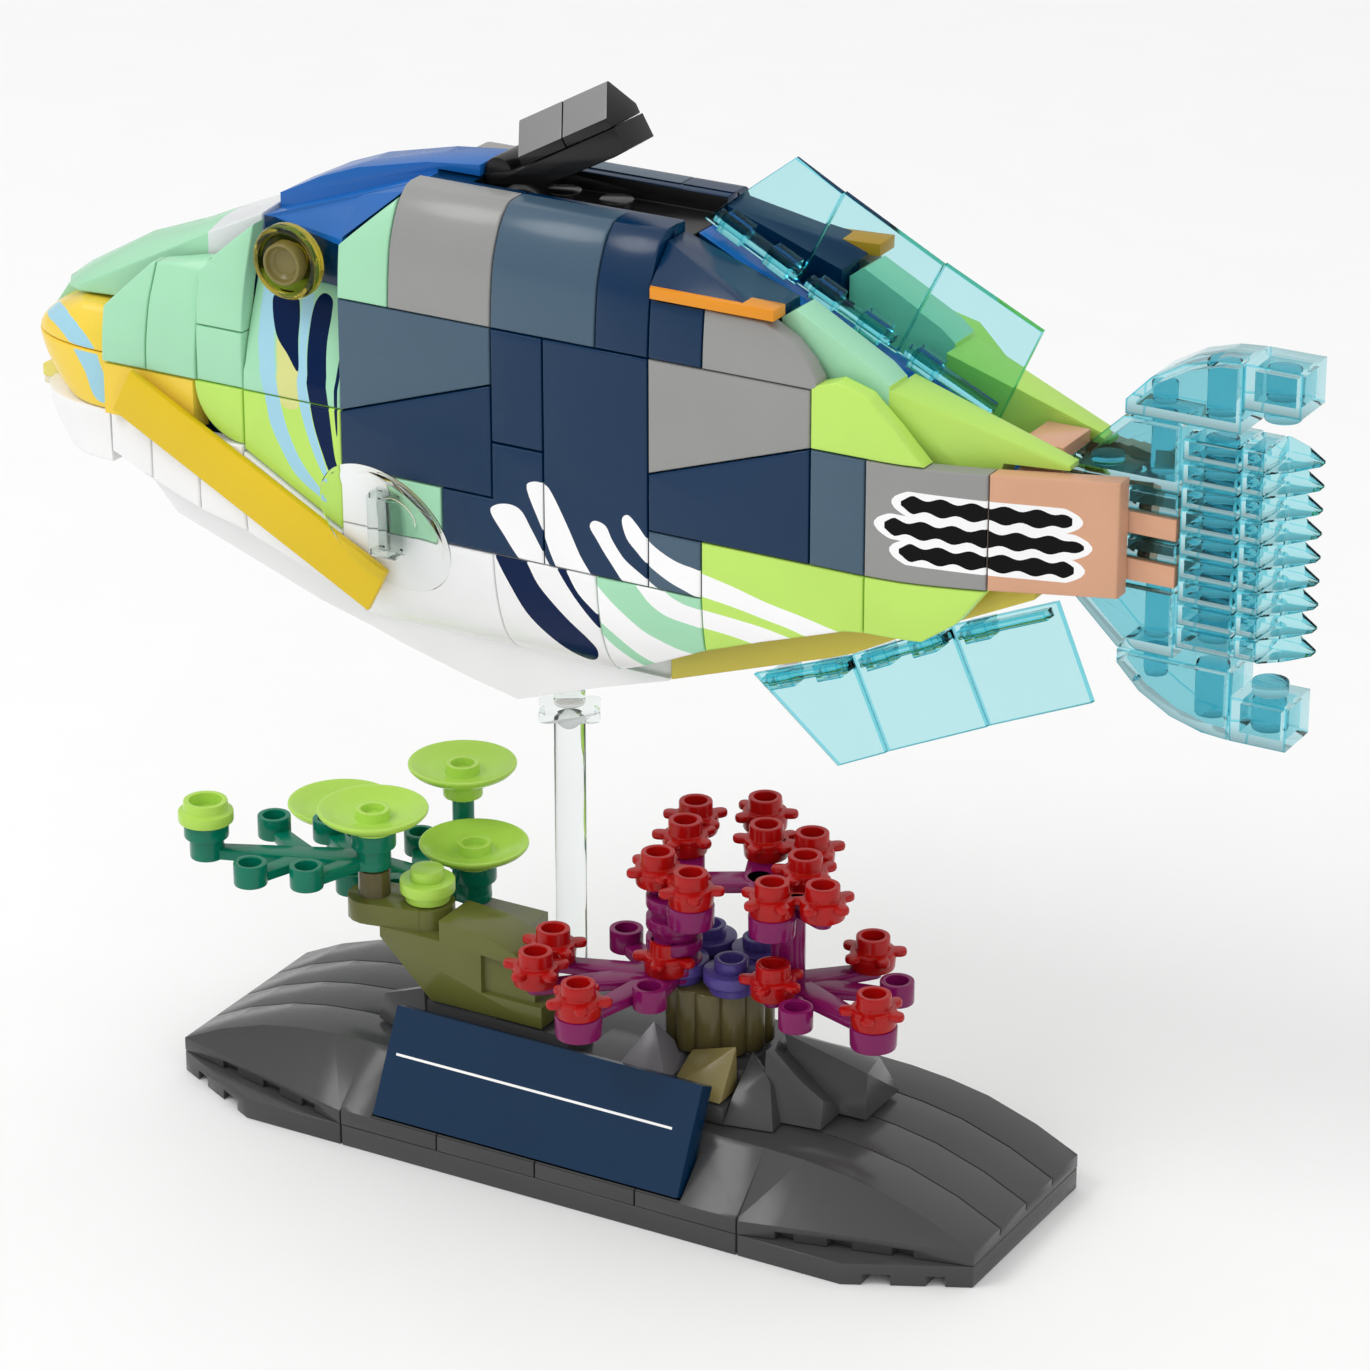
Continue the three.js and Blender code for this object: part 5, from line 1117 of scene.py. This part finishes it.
hulled(shape, [(15.2, -13.3, 16), (23.4, -13.3, 16), (23.4, -8.2, 16), (15.2, -8.2, 16),
               (15.2, -9.6, 17.6), (20.4, -11.6, 16.6), (23.2, -8.2, 22.6), (16.2, -8.2, 20.4)],
       "khaki", 0.15)
shape.build("coral_column", "stand_coral_column", smooth=50)

# %% Branches
# Where each group starts, its height, the ends with a cup and the ends with a flower
BRANCHES = [
    ((11.3, -6.7), LOWER_Z, [(1.4, -0.8), (13.3, -14.9)],
     [(-4.2, -11.3), (-2.6, -18.7), (7.5, -24.2), (11.3, -6.7)]),
    ((27, -0.6), LOWER_Z, [(41.9, 3.3), (33.6, -10.5)],
     [(35.4, 8.5), (43.8, -7.2), (27.6, -6)]),
    ((12, -2), UPPER_Z, [], [(5.5, 11.6), (7.4, 5.3), (9.3, -5.6), (16.5, -9.2)]),
    ((20.5, 3), UPPER_Z, [],
     [(13.3, 17.6), (17.9, 9.6), (24.7, 10.4), (27.4, 3.4), (27.6, -6.4), (34, -3.8)]),
]
shape = Shape()
for foot, z, cups, flowers in BRANCHES:
    for tip in cups + flowers:
        if math.dist(tip, foot) > 1:
            arm(shape, foot, tip, z, 2.3, 1.3, "magenta")
arm(shape, (12, -2), (20.5, 3), UPPER_Z, 2.3, 2.3, "magenta")
arm(shape, (20.5, 3), (27, -0.6), UPPER_Z, 2, 2, "magenta")
for x, y, z in ((16.5, -9.2, UPPER_Z), (27.6, -6.4, UPPER_Z), (43.8, -7.2, LOWER_Z),
                (7.5, -24.2, LOWER_Z)):
    turned(shape, rounded([(0, 0), (3.2, 0), (3.3, 3.2), (0, 3.2)], 0.25), (x, y, z - 1.6),
           "magenta", 36)
for k in range(4):
    turned(shape, rounded(BARREL, 0.25), (11.4, -4.8, LOWER_Z + k * 3.15), "magenta", 32)
pin(shape, 2.4, 13, (27, -0.6, LOWER_Z), "magenta", 28)
shape.build("coral_branches", "stand_coral", smooth=50)
repeat("coral_cups", cup_shape, [(*tip, z) for _, z, cups, _ in BRANCHES for tip in cups],
       "magenta", "stand_coral")

# %% Flowers
PETAL, PETAL_AT, FIFTH = 0.98, 3.75, 2 * math.pi / 5  # its radius, the ring's, and a turn's fifth
petal_line = []
for t in np.arange(100) * 2 * math.pi / 100:
    off = (t + FIFTH / 2) % FIFTH - FIFTH / 2
    across = PETAL_AT * math.sin(off)
    r = 3.2
    if abs(across) < PETAL:
        r = PETAL_AT * math.cos(off) + math.sqrt(PETAL ** 2 - across ** 2)
    petal_line.append((r * math.cos(t), r * math.sin(t)))
flower = turned(Shape(), rounded([(0, 0), (3.1, 0), (3.25, 1.9), (3.1, 2.6), (2.4, 2.9),
                                  (2.4, 4.85), (1.6, 4.85), (1.6, 3.3), (0, 3.3)], 0.25),
                (0, 0, 0), "red", 32)
slab(flower, petal_line, 1.75, 2.85, "red", "xy", 0.35)
repeat("coral_flowers", flower,
       [(*tip, z + 1.5) for _, z, _, flowers in BRANCHES for tip in flowers],
       "red", "stand_coral", 2 * math.pi, 4)

# %% [markdown]
# ## Floor and light
# The photograph has no room around the object, only a pale seamless ground and soft light from
# the upper left. A wide floor, a sky that is bright above and dimmer at the horizon, and two large
# lamps give the same soft shading and the long gentle highlights on the curved slopes.

# %% Floor
floor_mesh = bpy.data.meshes.new("Floor")
floor_mesh.from_pydata([(-4, -4, 0), (4, -4, 0), (4, 4, 0), (-4, 4, 0)], [], [(0, 1, 2, 3)])
floor = bpy.data.objects.new("Floor", floor_mesh)
bpy.context.collection.objects.link(floor)
floor_mesh.materials.append(plastic("floor_paper", "f6f6f6", 0.7, 0.01))
floor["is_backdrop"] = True
print("floor:", [round(v, 1) for v in floor.dimensions], "m")

# %% Sky and lamps
SKY_LOW, SKY_HIGH, LAMPS_AIM = 0.42, 1.02, Vector((0, 0, 0.08))
world = bpy.data.worlds.new("Sky")
world.use_nodes = True
sky = world.node_tree
glow = sky.nodes["Background"]
glow.inputs["Color"].default_value = (1, 1, 1, 1)
heading = node(sky, "ShaderNodeTexCoord")
parts = node(sky, "ShaderNodeSeparateXYZ")
height = node(sky, "ShaderNodeMapRange", {"From Min": -0.1, "From Max": 0.75, "To Min": SKY_LOW,
                                          "To Max": SKY_HIGH})
wire(sky, (heading, "Generated", parts, "Vector"), (parts, "Z", height, "Value"),
     (height, "Result", glow, "Strength"))
bpy.context.scene.world = world


def soft_lamp(name, place, size, power):
    data = bpy.data.lights.new(name, "AREA")
    data.shape, data.size, data.energy = "DISK", size, power
    lamp = bpy.data.objects.new(name, data)
    bpy.context.collection.objects.link(lamp)
    lamp.location = place
    lamp.rotation_mode = "QUATERNION"
    lamp.rotation_quaternion = (LAMPS_AIM - Vector(place)).to_track_quat("-Z", "Y")
    print(name, "lamp:", power, "W")


soft_lamp("Key", (-0.5, -0.6, 0.95), 0.5, 3.4)
soft_lamp("Fill", (0.8, -0.7, 0.5), 0.6, 0.8)
bpy.context.scene.view_settings.view_transform = "Standard"

# %% Sizes and the last line
low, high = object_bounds()
print("pieces:", len(made_pieces))
